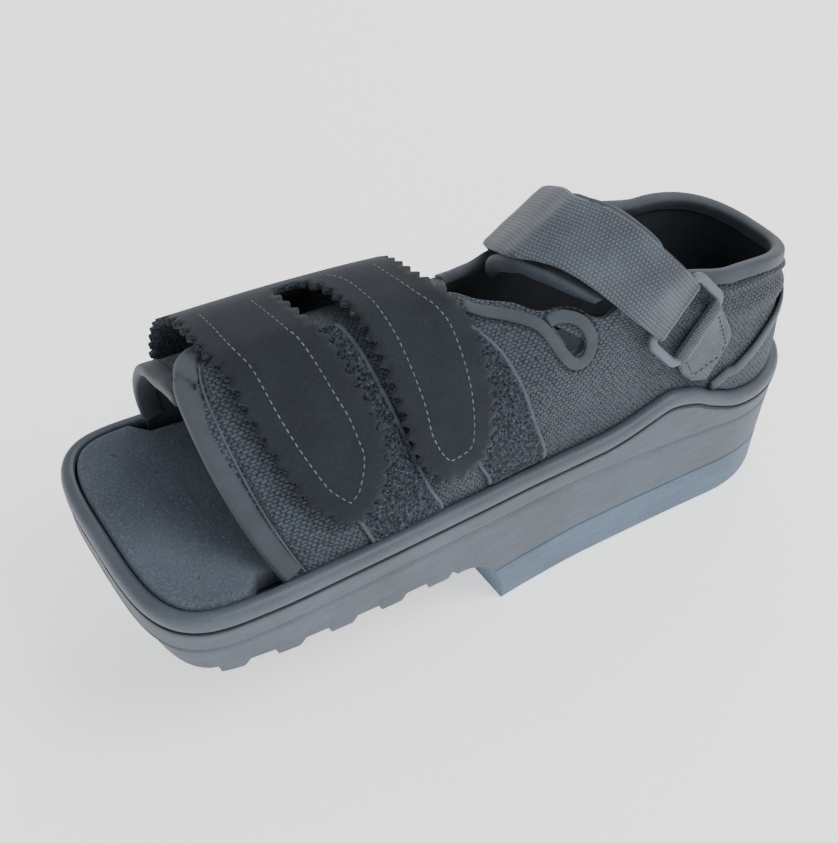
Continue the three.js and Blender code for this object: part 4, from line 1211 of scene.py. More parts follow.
        # a continuous dark line: dark seam thread plus painted shade in the groove under the bead
        maker.tube([*path, path[0]], self.seam_radius)
        maker.build("welt_seam_painted_shade", [self.finishes.dark_thread])

    def build_footbed(self) -> Piece:
        """Makes the footbed with a rounded edge and a light dish."""
        front = LAST.opening(-1) + 1.8
        high = self.footbed_thickness

        def wave(x: float) -> float:
            """Returns the soft unevenness of the footbed's face."""
            return 0.35 * noise.noise(Vector((x / 30, 0.3, 0.7)))

        def inside(x: float) -> float:
            """Returns how much farther in the footbed stands inside the upper."""
            return lerp(self.footbed_inset - self.footbed_toe_inset, 0, smooth(x, front, front + 4))

        edge = [(0.4, self.gap), (0.0, 1.2), (0.0, high - 2.2), (0.3, high - 1.1)]
        edge += [(1.0, high - 0.35), (2.2, high)]
        loops = [
            self.loop(self.footbed_toe_inset + i, lambda x, h=h: LAST.ledge(x) + h, inside) for i, h in edge
        ]
        for inset in (4, 9, 15, 22, 30):
            dish = 1.1 * (inset / 30)
            loops.append(
                self.loop(
                    self.footbed_toe_inset + inset,
                    lambda x, d=dish: LAST.ledge(x) + high + wave(x) + 0.1 - d,
                    inside,
                )
            )
        piece = self.stack("footbed", loops, self.finishes.footbed)
        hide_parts("insole")
        return piece

    def build(self) -> None:
        """Makes all pieces of the sole unit."""
        for piece in (self.build_sole(), self.build_tread(), self.build_welt(), self.build_footbed()):
            LOG.info("made %s with %d faces", piece.name, len(piece.data.polygons))
        self.build_seam_and_groove_shade()


@dataclass
class Upper:
    """The mesh upper, its bindings, its heel counter and the vamp's lap."""

    finishes: Finishes
    vamp_columns: int = 46
    quarter_columns: int = 60
    heel_columns: int = 36
    rows: int = 60
    gap: float = 0.3
    tape_width: float = 4.6
    tape_bulge: float = 0.75
    keyhole: Row = (120.6, 102.4)
    keyhole_radius: float = 3.6
    counter_front: float = 56.0
    counter_thickness: float = 1.2
    toe_tape_width: float = 6.4
    dip_depth: float = 5.5
    lap_from: float = 0.78
    lap_to: float = 1.17
    lap_turn: float = 0.9
    lap_corner: float = 15.0
    lap_lift: float = 3.7
    lap_rear: float = 224.0
    lap_flat_width: float = 62.0
    toe_tape_start: float = 0.04
    piping_radius: float = 0.4

    def columns(self, side: int) -> list[tuple[float, float, float]]:
        """Returns station, turn and edge share of a side's columns."""
        result = []
        for i in range(self.vamp_columns):
            result.append((lerp(LAST.opening(side), LAST.throat_start, i / self.vamp_columns), 0.0, 1.0))
        for i in range(self.quarter_columns):
            q = lerp(LAST.throat_start, LAST.heel_round, i / self.quarter_columns)
            result.append((q, 0.0, LAST.edge_at(side, q)))
        for i in range(self.heel_columns + 1):
            turn = i / self.heel_columns
            result.append((LAST.heel_round, turn, LAST.edge_at(side, LAST.heel_round, turn)))
        return result

    def dip(self, place: Place) -> float:
        """Returns how far the far flap is pressed down under the near flap's lap."""
        ahead = (place.q - LAST.throat_start) / (LAST.opening(place.side) - LAST.throat_start)
        low, high = (0.86, 1.0) if place.side > 0 else (0.5, 0.8)
        return self.dip_depth * smooth(ahead, 0.7, 1.0) * smooth(place.e, low, high)

    def wrinkle(self, point: Vector) -> float:
        """Returns the soft unevenness of the padded mesh at a point."""
        return noise.noise(point / 24.0) * 0.7 + noise.noise(point / 9.0) * 0.25

    def build_shell(self) -> Piece:
        """Makes the hollow upper: an outer and an inner face, closed along every free edge."""
        maker = MeshMaker()
        for side in (1, -1):
            panel = Panel()
            run = 0.0
            last = None
            for q, turn, edge in self.columns(side):
                panel.row()
                foot = LAST.skin(Place(side, q, 0.02, turn))
                run += (foot - last).length if last else 0.0
                last = foot
                up = 0.0
                before = None
                for k in range(-1, self.rows + 1):
                    place = Place(side, q, max(edge * max(k, 0) / self.rows, 0.02), turn)
                    normal = LAST.normal(place)
                    skin = LAST.skin(place)
                    fade = smooth(skin.z, LAST.groove(skin.x) + 9, LAST.groove(skin.x) + 20)
                    fade *= 1 - smooth(place.e / edge, 0.86, 0.97)
                    out = skin + normal * (LAST.pad(place) + self.wrinkle(skin) * fade)
                    into = skin - normal * LAST.wall(place)
                    out.z -= self.dip(place)
                    into.z -= self.dip(place)
                    if k < 0:
                        out.z = into.z = LAST.ledge(out.x) + self.gap
                    if place.e >= 0.999 or turn >= 1:
                        out.y = into.y = 0.0
                    up += (out - before).length if before else 0.0
                    before = out
                    panel.add(out, into, (side * run, up))
            outer = panel.face
            count = self.rows + 2
            a = maker.grid(outer, panel.flat, 0, flip=side < 0)
            b = maker.grid(panel.back, panel.flat, 1, flip=side > 0)
            for i in range(len(outer) - 1):
                for j in (0, count - 1):
                    if j == 0 or outer[i][j].y != 0 or outer[i + 1][j].y != 0:
                        p, q = i * count + j, (i + 1) * count + j
                        maker.face((a + p, a + q, b + q, b + p), 1)
            for j in range(count - 1):
                maker.face((a + j, a + j + 1, b + j + 1, b + j), 0)
        piece = maker.build("upper_shell", [self.finishes.mesh, self.finishes.lining])
        self.cut_keyhole(piece)
        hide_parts("upper")
        return piece

    def keyhole_line(self, grow: float, steps: int = 22) -> list[tuple[float, float]]:
        """Returns the keyhole's drop shape in side view.

        Args:
            grow: how far outside the opening's edge the line runs.
            steps: how many steps the round end gets.
        """
        cx, cz = self.keyhole
        tip = (cx + 1.9 * self.keyhole_radius, cz + 2.2 * self.keyhole_radius)
        radius = self.keyhole_radius + grow
        first, last = pi * 0.82, pi * 2.06
        round_end = [
            (cx + radius * cos(lerp(first, last, k / steps)), cz + radius * sin(lerp(first, last, k / steps)))
            for k in range(steps + 1)
        ]
        reach = hypot(tip[0] - cx, tip[1] - cz)
        point = (cx + (tip[0] - cx) * (1 + grow / reach), cz + (tip[1] - cz) * (1 + grow / reach))
        return round_end + [point]

    def cut_keyhole(self, piece: Piece) -> None:
        """Cuts the keyhole through the near side of the upper."""
        line = self.keyhole_line(0.0)
        maker = MeshMaker()
        rows = [[Vector((x, y, z)) for x, z in line] for y in (10.0, 55.0)]
        maker.sweep(rows)
        cutter = maker.build("keyhole_cutter", [self.finishes.lining])
        change = piece.modifiers.new("keyhole", "BOOLEAN")
        change.operation = "DIFFERENCE"
        change.solver = "EXACT"
        change.object = cutter
        apply_modifiers(piece)
        bpy.data.objects.remove(cutter)

    def tape(
        self,
        name: str,
        stops: Sequence[tuple[Vector, Vector, Vector, Vector]],
        finish: Material,
        replaced: str,
        width: float,
    ) -> Piece:
        """Makes a rounded tape folded round a free edge.

        Args:
            name: the piece's name.
            stops: outer point, inner point, way into the panel and outward direction.
            finish: the tape's material.
            replaced: the solid that it stands for.
            width: how far the tape reaches into the panel.

        Returns:
            The new piece.
        """
        maker = MeshMaker()
        arc = 7
        rings, flat = [], []
        run = 0.0
        last = None
        for outer, inner, into, normal in stops:
            run += (outer - last).length if last else 0.0
            last = outer
            proud = self.gap + 0.05
            ring = [outer + into * width + normal * 0.05]
            for share, bulge in ((1.0, 0.3), (0.9, 0.62), (0.55, 0.9), (0.2, 1.0)):
                ring.append(outer + into * width * share + normal * (proud + self.tape_bulge * bulge))
            middle = outer.lerp(inner, 0.5)
            half = (outer - inner).length / 2 + proud + self.tape_bulge * 0.9
            for k in range(arc + 1):
                angle = pi * k / arc
                ring.append(middle + normal * cos(angle) * half - into * sin(angle) * 1.3)
            ring.append(inner + into * width - normal * (proud + 0.4))
            ring.append(inner + into * width - normal * 0.05)
            rings.append(ring)
            flat.append([(run, k * 1.1) for k in range(len(ring))])
        maker.sweep(rings, flat)
        piece = maker.build(name, [finish])
        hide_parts(replaced)
        return piece

    def stop(self, place: Place, into: Vector) -> tuple[Vector, Vector, Vector, Vector]:
        """Returns a tape stop on the upper's edge at a place."""
        normal = LAST.normal(place)
        if place.e >= 0.999:
            into.y = 0
        return (
            LAST.offset(place, LAST.pad(place)),
            LAST.offset(place, -LAST.wall(place)),
            into.normalized(),
            normal,
        )

    def lap_point(self, q: float, w: float) -> tuple[Vector, Vector]:
        """Returns a face point of the near flap's lap and its outward direction.

        Args:
            q: station.
            w: share across the vamp; 1 is the ridge.
        """
        place = LAST.across(q, w)
        normal = (LAST.normal(place) + LAST.normal(LAST.across(q, w + 0.04))).normalized()
        lift = lerp(0.1, self.lap_lift, smooth(w, self.lap_from, 1.0))
        return LAST.skin(place) + normal * lift, normal

    def lap_front(self, w: float) -> float:
        """Returns the station of the lap's front edge, with its rounded corner."""
        share = clamp((w - self.lap_turn) / (self.lap_to - self.lap_turn))
        return LAST.opening(1) - self.lap_corner * (1 - sqrt(max(1 - share * share, 0)))

    def build_lap(self) -> None:
        """Makes the near flap's lap over the far flap, where it leaves the strap."""
        maker = MeshMaker()
        rows, columns = 26, 34
        panel = Panel()
        for j in range(columns + 1):
            w = lerp(self.lap_from, self.lap_to, j / columns)
            panel.row()
            for i in range(rows + 1):
                q = lerp(self.lap_rear, self.lap_front(w), i / rows)
                point, normal = self.lap_point(q, w)
                wall = LAST.mesh_wall * smooth(w, self.lap_from, 0.86) + 0.15
                panel.add(point, point - normal * wall, (q, w * self.lap_flat_width))
        maker.sheet(panel, 1, 1)
        piece = maker.build("near_flap_lap", [self.finishes.mesh, self.finishes.lining])

    def edge_stops(self, outer: Line, normals: Line) -> list[tuple]:
        """Returns tape stops along an edge; the panel lies to the edge's left."""
        stops = []
        for i, point in enumerate(outer):
            into = heading(outer, i).cross(normals[i]).normalized()
            stops.append((point, point - normals[i] * LAST.mesh_wall, into, normals[i]))
        return stops

    def build_toe_binding(self) -> None:
        """Makes the near toe tape with its rounded corner, and the far one under it."""
        shares = [lerp(self.toe_tape_start, self.lap_from, k / 34) for k in range(34)]
        near = [LAST.across(LAST.opening(1), w) for w in shares]
        points = [LAST.skin(place) + LAST.normal(place) * 0.1 for place in near]
        normals = [LAST.normal(place) for place in near]
        shares = [lerp(self.lap_from, self.lap_to, sin(k / 36 * pi / 2)) for k in range(37)]
        spots = [(self.lap_front(w), w) for w in shares] + [(q, self.lap_to) for q in (233.0, 229.0, 225.0)]
        for q, w in spots:
            point, normal = self.lap_point(q, w)
            points.append(point)
            normals.append(normal)
        stops = self.edge_stops(points, normals)
        self.tape("toe_tape", stops, self.finishes.tape, "toe_binding", self.toe_tape_width)
        edge, seam, faces = [], [], []
        for k in range(70):
            w = lerp(0.05, 1.0, k / 69)
            lap = w > self.lap_from
            front = self.lap_front(w) if lap else LAST.opening(1)
            for line, inset, lift in ((edge, 0.3, 0.5), (seam, 1.5, 0.45)):
                q = front - self.toe_tape_width - inset
                point, normal = self.lap_point(q, w) if lap else (LAST.skin(LAST.across(q, w)), None)
                normal = normal or LAST.normal(LAST.across(q, w))
                line.append(point + normal * lift)
            faces.append(normal)
        stitch = Stitch(length=2.0, radius=0.3)
        row = stitch_row("toe_stitches", self.finishes.dark_thread, [seam], [faces], stitch)
        maker = MeshMaker()
        maker.tube(edge, self.piping_radius)
        maker.build("toe_piping", [self.finishes.selvage])
        places = [Place(-1, LAST.opening(-1), lerp(self.toe_tape_start, 1.0, k / 44)) for k in range(45)]
        points = [LAST.skin(place) - Vector((0, 0, self.dip(place))) for place in places]
        normals = [LAST.normal(place) for place in places]
        stops = [(p, p - n * LAST.mesh_wall, -into, n) for p, _, into, n in self.edge_stops(points, normals)]
        self.tape("far_toe_tape", stops, self.finishes.tape, "toe_binding", self.toe_tape_width)

    def build_collar_binding(self) -> None:
        """Makes the tape round the collar from the keyhole to the far throat."""
        stops = []

        def push(place: Place) -> None:
            """Adds a stop on the free edge."""
            edge = LAST.edge_at(place.side, place.q, place.turn)
            at = replace(place, e=edge)
            down = LAST.skin(replace(place, e=edge - 0.03)) - LAST.skin(at)
            if place.turn >= 1:
                down.y = 0
            stops.append(self.stop(at, down))

        quarter, heel = 64, 30
        for i in range(int(quarter * 0.5), quarter + 1):
            push(Place(1, lerp(LAST.throat_start, LAST.heel_round, i / quarter), 0))
        for i in range(1, heel + 1):
            push(Place(1, LAST.heel_round, 0, i / heel))
        for i in range(heel - 1, 0, -1):
            push(Place(-1, LAST.heel_round, 0, i / heel))
        for i in range(quarter, 2, -1):
            push(Place(-1, lerp(LAST.throat_start, LAST.heel_round, i / quarter), 0))
        self.tape("collar_tape", stops, self.finishes.tape, "collar_binding", self.tape_width)
        path = [outer + into * (self.tape_width + 0.8) for outer, _, into, _ in stops[2:-8]]
        faces = [normal for _, _, _, normal in stops[2:-8]]
        row = stitch_row("collar_stitches", self.finishes.dark_thread, [path], [faces], Stitch(lift=0.25))

    def flat_tape(
        self, name: str, path: Line, normals: Line, width: float, low: float, high: float, finish: Material
    ) -> Piece:
        """Makes a flat tape with rounded edges that lies on a surface.

        Args:
            name: the piece's name.
            path: its middle line on the surface.
            normals: outward directions at the path's points.
            width: the tape's width.
            low: height of its underside over the surface.
            high: height of its top.
            finish: its material.

        Returns:
            The new piece.
        """
        maker = MeshMaker()
        rings, flat = [], []
        total = run_lengths(path)
        section = [(-0.5, low), (0.5, low), (0.5, lerp(low, high, 0.5)), (0.44, lerp(low, high, 0.85))]
        section += [(0.25, high), (0.0, high + 0.08), (-0.25, high), (-0.44, lerp(low, high, 0.85))]
        section += [(-0.5, lerp(low, high, 0.5))]
        for i, point in enumerate(path):
            side = heading(path, i).cross(normals[i]).normalized()
            rings.append([point + side * (a * width) + normals[i] * d for a, d in section])
            flat.append([(total[i], a * width) for a, _ in section])
        maker.sweep(rings, flat)
        return maker.build(name, [finish])

    def build_throat_binding(self) -> None:
        """Makes the tape down the throat's edge and round the keyhole."""
        line = [
            (0.527, 0.838), (0.505, 0.823), (0.48, 0.81), (0.46, 0.798), (0.447, 0.783), (0.439, 0.76),
            (0.43, 0.722), (0.42, 0.69), (0.407, 0.678), (0.395, 0.69), (0.388, 0.722), (0.39, 0.757),
            (0.398, 0.781), (0.41, 0.793), (0.424, 0.795), (0.436, 0.787),
        ]
        line = [(LAST.length * along, LAST.ankle_ridge * up) for along, up in line]
        path, normals = [], []
        for point in resample(spline([(x, 0, z) for x, z in line], 8), 0.9):
            place = LAST.at_height(1, point.x, point.z)
            path.append(LAST.skin(place))
            normals.append(LAST.normal(place))
        piece = self.flat_tape("throat_tape", path, normals, self.tape_width, 0.5, 1.5, self.finishes.tape)
        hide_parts("throat_binding")
        outer = []
        for i, point in enumerate(path):
            outer.append(point + heading(path, i).cross(normals[i]).normalized() * (self.tape_width / 2 + 1.0))
        row = stitch_row("throat_stitches", self.finishes.dark_thread, [outer], [normals])

    def counter_top(self, turn: float, q: float) -> float:
        """Returns the share of the heel's height that the counter reaches."""
        rise = Curve([(0, 0.12), (0.12, 0.2), (0.3, 0.31), (0.6, 0.38), (1, 0.42)])
        if turn > 0:
            return rise(turn)
        return max(rise(0) * (self.counter_front - q) / (self.counter_front - LAST.heel_round), 0.02)

    def build_counter(self) -> None:
        """Makes the overlay round the heel with its bound top edge."""
        maker = MeshMaker()
        rows = 14
        stations = []
        for side in (1, -1):
            run = [(side, self.counter_front - 0.3, 0.0), (side, 53.0, 0.0), (side, 50.0, 0.0)]
            run += [(side, LAST.heel_round, k / 40) for k in range(41)]
            stations += run if side > 0 else list(reversed(run[:-1]))
        panel, path, faces = Panel(), [], []
        total = 0.0
        last = None
        for side, q, turn in stations:
            x = LAST.skin(Place(side, q, 0, turn)).x if turn > 0 else q
            low = LAST.groove(x) + LAST.welt_height + 0.5
            high = low + self.counter_top(turn, q) * (LAST.ridge(LAST.heel_round) - low)
            panel.row()
            for k in range(rows + 1):
                place = LAST.at_height(side, q, lerp(low, high, k / rows), turn)
                normal, skin = LAST.normal(place), LAST.skin(place)
                if turn >= 1:
                    skin.y = 0
                proud = 0.5 + 0.25 * sin(pi * k / rows)
                top = skin + normal * (proud + self.counter_thickness)
                panel.add(top, skin + normal * 0.45, (total, lerp(low, high, k / rows)))
            foot = panel.face[-1][0]
            total += (foot - last).length if last else 0.0
            last = foot
            path.append(panel.face[-1][-1])
            faces.append((panel.face[-1][-1] - panel.back[-1][-1]).normalized())
        maker.sheet(panel)
        piece = maker.build("counter_overlay", [self.finishes.mesh])
        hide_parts("heel_counter")
        tape = self.flat_tape("counter_tape", path, faces, 5.0, -0.2, 1.0, self.finishes.tape)
        line = [p + Vector((0, 0, -3.2)) for p in path[2:-2]]
        row = stitch_row("counter_stitches", self.finishes.dark_thread, [line], [faces[2:-2]], Stitch(lift=0.2))

    def build(self) -> None:
        """Makes the upper's pieces."""
        shell = self.build_shell()
        LOG.info("made %s with %d faces", shell.name, len(shell.data.polygons))
        self.build_lap()
        self.build_toe_binding()
        self.build_collar_binding()
        self.build_throat_binding()
        self.build_counter()


def apply_modifiers(piece: Piece) -> None:
    """Replaces a piece's mesh with what its modifiers make of it."""
    depsgraph = bpy.context.evaluated_depsgraph_get()
    mesh = bpy.data.meshes.new_from_object(piece.evaluated_get(depsgraph), depsgraph=depsgraph)
    piece.modifiers.clear()
    piece.data = mesh


@dataclass
class Finger:
    """One strap finger: rows of the ridge share w, and its rear and front edge by station."""

    axis: float
    rows: Sequence[Row]

    def edges(self, width: float) -> tuple[Curve, Curve]:
        """Returns the rear and the front edge's station by w."""
        rear = Curve([(w, self.axis + width * a) for w, a, _ in self.rows])
        front = Curve([(w, self.axis + width * b) for w, _, b in self.rows])
        return rear, front


@dataclass
class ForefootClosure:
    """The hooked flap with two fingers, and the pile fields under it."""

    finishes: Finishes
    strap_width: float = 36.0
    thickness: float = 2.2
    tooth_pitch: float = 5.2
    tooth_depth: float = 2.0
    hem: float = 8.3
    patch_width: float = 30.0
    patch_thickness: float = 1.3
    far_end: float = 1.992
    slot_round: float = 1.6
    toe: Finger = field(
        default_factory=lambda: Finger(
            216,
            [
                (0.205, 0.01, 0.07), (0.220, -0.10, 0.17), (0.250, -0.23, 0.23), (0.290, -0.32, 0.30),
                (0.340, -0.41, 0.37), (0.420, -0.48, 0.42), (0.520, -0.48, 0.47), (0.640, -0.44, 0.51),
                (0.780, -0.40, 0.54), (0.920, -0.36, 0.61), (1.050, -0.30, 0.63), (1.200, -0.28, 0.63),
            ],
        )
    )
    instep: Finger = field(
        default_factory=lambda: Finger(
            176,
            [
                (0.165, 0.04, 0.10), (0.175, -0.11, 0.22), (0.200, -0.24, 0.30), (0.240, -0.33, 0.37),
                (0.300, -0.39, 0.43), (0.380, -0.44, 0.46), (0.480, -0.48, 0.44), (0.600, -0.50, 0.44),
                (0.720, -0.51, 0.44), (0.840, -0.47, 0.45), (0.960, -0.39, 0.46), (1.080, -0.32, 0.49),
                (1.200, -0.31, 0.61),
            ],
        )
    )

    def __post_init__(self) -> None:
        """Measures the strap's middle line, so that w becomes a length."""
        middle = (self.toe.axis + self.instep.axis) / 2
        self.shares = [k / 400 * 2 for k in range(401)]
        line = [LAST.skin(LAST.across(middle, w, True)) for w in self.shares]
        self.runs = run_lengths(line)

    def run_of(self, w: float) -> float:
        """Returns the length along the strap at a share w."""
        i = clamp(bisect_left(self.shares, w) - 1, 0, len(self.shares) - 2)
        t = (w - self.shares[i]) / (self.shares[i + 1] - self.shares[i])
        return lerp(self.runs[i], self.runs[i + 1], t)

    def share_of(self, run: float) -> float:
        """Returns the share w at a length along the strap."""
        i = clamp(bisect_left(self.runs, run) - 1, 0, len(self.runs) - 2)
        t = (run - self.runs[i]) / (self.runs[i + 1] - self.runs[i])
        return lerp(self.shares[i], self.shares[i + 1], clamp(t, 0, 1.5))

    def smooth_outline(self, finger: Finger) -> tuple[list[Vector], list[Vector]]:
        """Returns a finger's rear and front edge on the flat map, from the tip upward."""
        rear, front = finger.edges(self.strap_width)
        low, high = finger.rows[0][0], finger.rows[-1][0]
        shares = [lerp(low, high, (k / 90) ** 1.6) for k in range(91)]
        return (
            [Vector((self.run_of(w), rear(w), 0)) for w in shares],
            [Vector((self.run_of(w), front(w), 0)) for w in shares],
        )

    def pinked(self, line: Line) -> list[Vector]:
        """Returns a line with pinked teeth cut to its left.

        Args:
            line: the smooth edge; the strap lies to its left.
        """
        half = self.tooth_pitch / 2
        stops = resample(line, half)
        teeth = []
        for i, point in enumerate(stops):
            ahead = heading(stops, i)
            inward = Vector((-ahead.y, ahead.x, 0)).normalized()
            cut = self.tooth_depth if i % 2 else 0.0
            wander = 0.25 * noise.noise(point / 6.0)
            for slide, depth in ((-0.5, cut), (0.5, cut)):
                shift = ahead.normalized() * slide
                teeth.append(point + shift + inward * (depth + wander))
        return teeth

    def body_outline(self) -> list[Vector]:
        """Returns the whole strap's outline on the flat map."""
        toe_rear, toe_front = self.smooth_outline(self.toe)
        step_rear, step_front = self.smooth_outline(self.instep)
        far = self.run_of(self.far_end)
        front_far = Vector((far, toe_front[-1].y + 2, 0))
        rear_far = Vector((far, step_rear[-1].y + 1, 0))
        bottom = [(t, Vector((self.slot_round * sin(pi * t), 0, 0))) for t in (0.2, 0.5, 0.8)]
        slot = [toe_rear[-1].lerp(step_front[-1], t) + bow for t, bow in bottom]
        toe_edge = [front_far, *reversed(toe_front), *toe_rear]
        step_edge = [*reversed(step_front), *step_rear, rear_far]
        return self.pinked(toe_edge) + slot + self.pinked(step_edge)

    def lift(self, run: float, station: float) -> float:
        """Returns how far the strap stands off its smooth surface."""
        return 0.35 * noise.noise(Vector((run / 26, station / 22, 0.4))) + 0.2

    def place_point(self, flat: Vector, height: float) -> Vector:
        """Returns the point of the strap over a place on its flat map."""
        w = self.share_of(flat.x)
        place = LAST.across(flat.y, w, True)
        return LAST.offset(place, height + self.lift(flat.x, flat.y))

    def filled(
        self,
        name: str,
        outline: Line,
        spacing: float,
        raise_point: Callable[[Vector, float], Vector],
        low: float,
        high: float,
        finishes: Sequence[Material],
        relief: Optional[Callable[[Vector], float]] = None,
    ) -> Piece:
        """Makes a sheet from a flat outline, laid on the shoe.

        Args:
            name: the piece's name.
            outline: the sheet's edge on the flat map.
            spacing: distance between the points inside it.
            raise_point: gives the place over a flat point at a height.
            low: height of its underside.
            high: height of its face.
            finishes: the face's and the edge's materials.
            relief: extra height of the face by flat point.

        Returns:
            The new piece.
        """
        low_x, high_x = min(p.x for p in outline), max(p.x for p in outline)
        low_y, high_y = min(p.y for p in outline), max(p.y for p in outline)
        points = [p.to_2d() for p in outline]
        edge = [(i, (i + 1) % len(points)) for i in range(len(points))]
        for i in range(int((high_x - low_x) / spacing) + 1):
            for j in range(int((high_y - low_y) / spacing) + 1):
                shift = 0.5 * spacing * (i % 2)
                spot = Vector((low_x + i * spacing, low_y + j * spacing + shift))
                if inside(spot, outline, spacing * 0.35):
                    points.append(spot)
        flat, _, faces, *_ = delaunay_2d_cdt(points, edge, [list(range(len(outline)))], 1, 1e-4)
        maker = MeshMaker()
        spots = [Vector((p.x, p.y, 0)) for p in flat]
        tops = [raise_point(p, high + (relief(p) if relief else 0.0)) for p in spots]
        a = maker.add(tops, [(p.x, p.y) for p in spots])
        b = maker.add([raise_point(p, low) for p in spots], [(p.x, p.y) for p in spots])
        used = {}
        for corners in faces:
            maker.face([a + k for k in corners], 0)
            maker.face([b + k for k in reversed(corners)], len(finishes) - 1)
            for p, q in zip(corners, corners[1:] + corners[:1]):
                used[(p, q)] = used.get((p, q), 0) + 1
        for p, q in used:
            if (q, p) not in used:
                maker.face((a + p, b + p, b + q, a + q), len(finishes) - 1)
        return maker.build(name, finishes)

    def build_strap(self) -> None:
        """Makes the flap with its pinked fingers, and its stitching."""
        piece = self.filled(
            "forefoot_flap",
            self.body_outline(),
            2.2,
            self.place_point,
            0.0,
            self.thickness,
            [self.finishes.strap, self.finishes.pile],
        )
        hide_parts("forefoot_strap")
        paths, faces = [], []
        for finger in (self.toe, self.instep):
            rear, front = self.smooth_outline(finger)
            line = resample([*reversed(front), *rear[1:]], 1.0)
            moved = []
            for i, point in enumerate(line):
                ahead = heading(line, i, 2)
                moved.append(point + Vector((-ahead.y, ahead.x, 0)).normalized() * self.hem)
            clear = [p for p in moved if min((p - q).length for q in line) > self.hem * 0.97]
            clear = resample(clear, 1.0)
            paths.append([self.place_point(p, self.thickness) for p in clear])
            faces.append([LAST.normal(LAST.across(p.y, self.share_of(p.x), True)) for p in clear])
        row = stitch_row("strap_stitches", self.finishes.thread, paths, faces, Stitch(2.7, 1.9, 0.24, 0.06))

    def build_patch(self, name: str, replaced: str, axis: float, rows: Sequence[Row]) -> None:
        """Makes one pile field with its smooth selvages.

        Args:
            name: the piece's name.
            replaced: the solid that it stands for.
            axis: the field's middle station.
            rows: w, rear and front share of the field's width.
        """
        finger = Finger(axis, rows)
        rear, front = finger.edges(self.patch_width)
        low, high = rows[0][0] - 0.02, rows[-1][0]
        shares = [lerp(low, high, k / 60) for k in range(61)]
        edge = [Vector((self.run_of(w), front(w), 0)) for w in reversed(shares)]
        edge += [Vector((self.run_of(w), rear(w), 0)) for w in shares]
        outline = resample(edge + edge[:1], 1.0)[:-1]

        def lay(flat: Vector, height: float) -> Vector:
            """Returns the point of the field over a flat place."""
            return LAST.offset(LAST.across(flat.y, self.share_of(flat.x)), height)

        def tuft(flat: Vector) -> float:
            """Returns the pile's height over the smooth selvage."""
            w = self.share_of(flat.x)
            away = min(front(w) - flat.y, flat.y - rear(w))
            rough = noise.noise(Vector((flat.x / 0.9, flat.y / 0.9, 1.7)))
            soft = noise.noise(Vector((flat.x / 4, flat.y / 4, 9.1)))
            return smooth(away, 1.0, 2.4) * (0.55 + 0.45 * rough + 0.2 * soft) - 0.35

        looks = [self.finishes.pile, self.finishes.selvage]
        piece = self.filled(name, outline, 0.62, lay, 0.5, 0.5 + self.patch_thickness, looks, tuft)
        mesh = piece.data
        flat_layer = mesh.uv_layers["flat"]
        for polygon in mesh.polygons:
            spots = [flat_layer.data[i].uv / MM for i in polygon.loop_indices]
            middle = sum((s for s in spots), Vector((0, 0))) / len(spots)
            w = self.share_of(middle.x)
            if min(front(w) - middle.y, middle.y - rear(w)) < 1.3:
                polygon.material_index = 1
        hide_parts(replaced)
        LOG.info("made %s with %d faces", piece.name, len(mesh.polygons))

    def build(self) -> None:
        """Makes the pile fields and the flap."""
        front_rows = [
            (0.05, -0.54, 0.48), (0.16, -0.45, 0.50), (0.30, -0.38, 0.55), (0.45, -0.34, 0.62),
            (0.60, -0.30, 0.67), (0.75, -0.27, 0.72), (0.90, -0.23, 0.76), (0.985, -0.2, 0.78),
        ]
        rear_rows = [
            (0.05, -0.50, 0.42), (0.15, -0.42, 0.53), (0.24, -0.34, 0.60), (0.35, -0.28, 0.66),
            (0.46, -0.20, 0.72), (0.57, -0.10, 0.82), (0.69, 0.07, 0.92), (0.80, 0.22, 1.0),
        ]
        self.build_patch("pile_front", "patch_front", 201, front_rows)
        self.build_patch("pile_rear", "patch_rear", 152, rear_rows)
        self.build_strap()


def inside(spot: Vector, outline: Line, margin: float) -> bool:
    """Returns whether a flat point lies inside an outline, away from its edge.

    Args:
        spot: the point.
        outline: corners in order.
        margin: least distance to the edge.
    """
    odd = False
    nearest = 1e9
    for p, q in zip(outline, list(outline[1:]) + [outline[0]]):
        if (p.y > spot.y) != (q.y > spot.y):
            if spot.x < p.x + (spot.y - p.y) / (q.y - p.y) * (q.x - p.x):
                odd = not odd
        ex, ey = q.x - p.x, q.y - p.y
        size = ex * ex + ey * ey or 1e-9
        t = clamp(((spot.x - p.x) * ex + (spot.y - p.y) * ey) / size)
        nearest = min(nearest, hypot(spot.x - p.x - t * ex, spot.y - p.y - t * ey))
    return odd and nearest > margin


@dataclass(frozen=True)
class RingFrame:
    """Where the ring stands: its centre, its directions and its two long bars."""

    centre: Vector
    normal: Vector
    long: Vector
    down: Vector
    upper: Vector
    lower: Vector


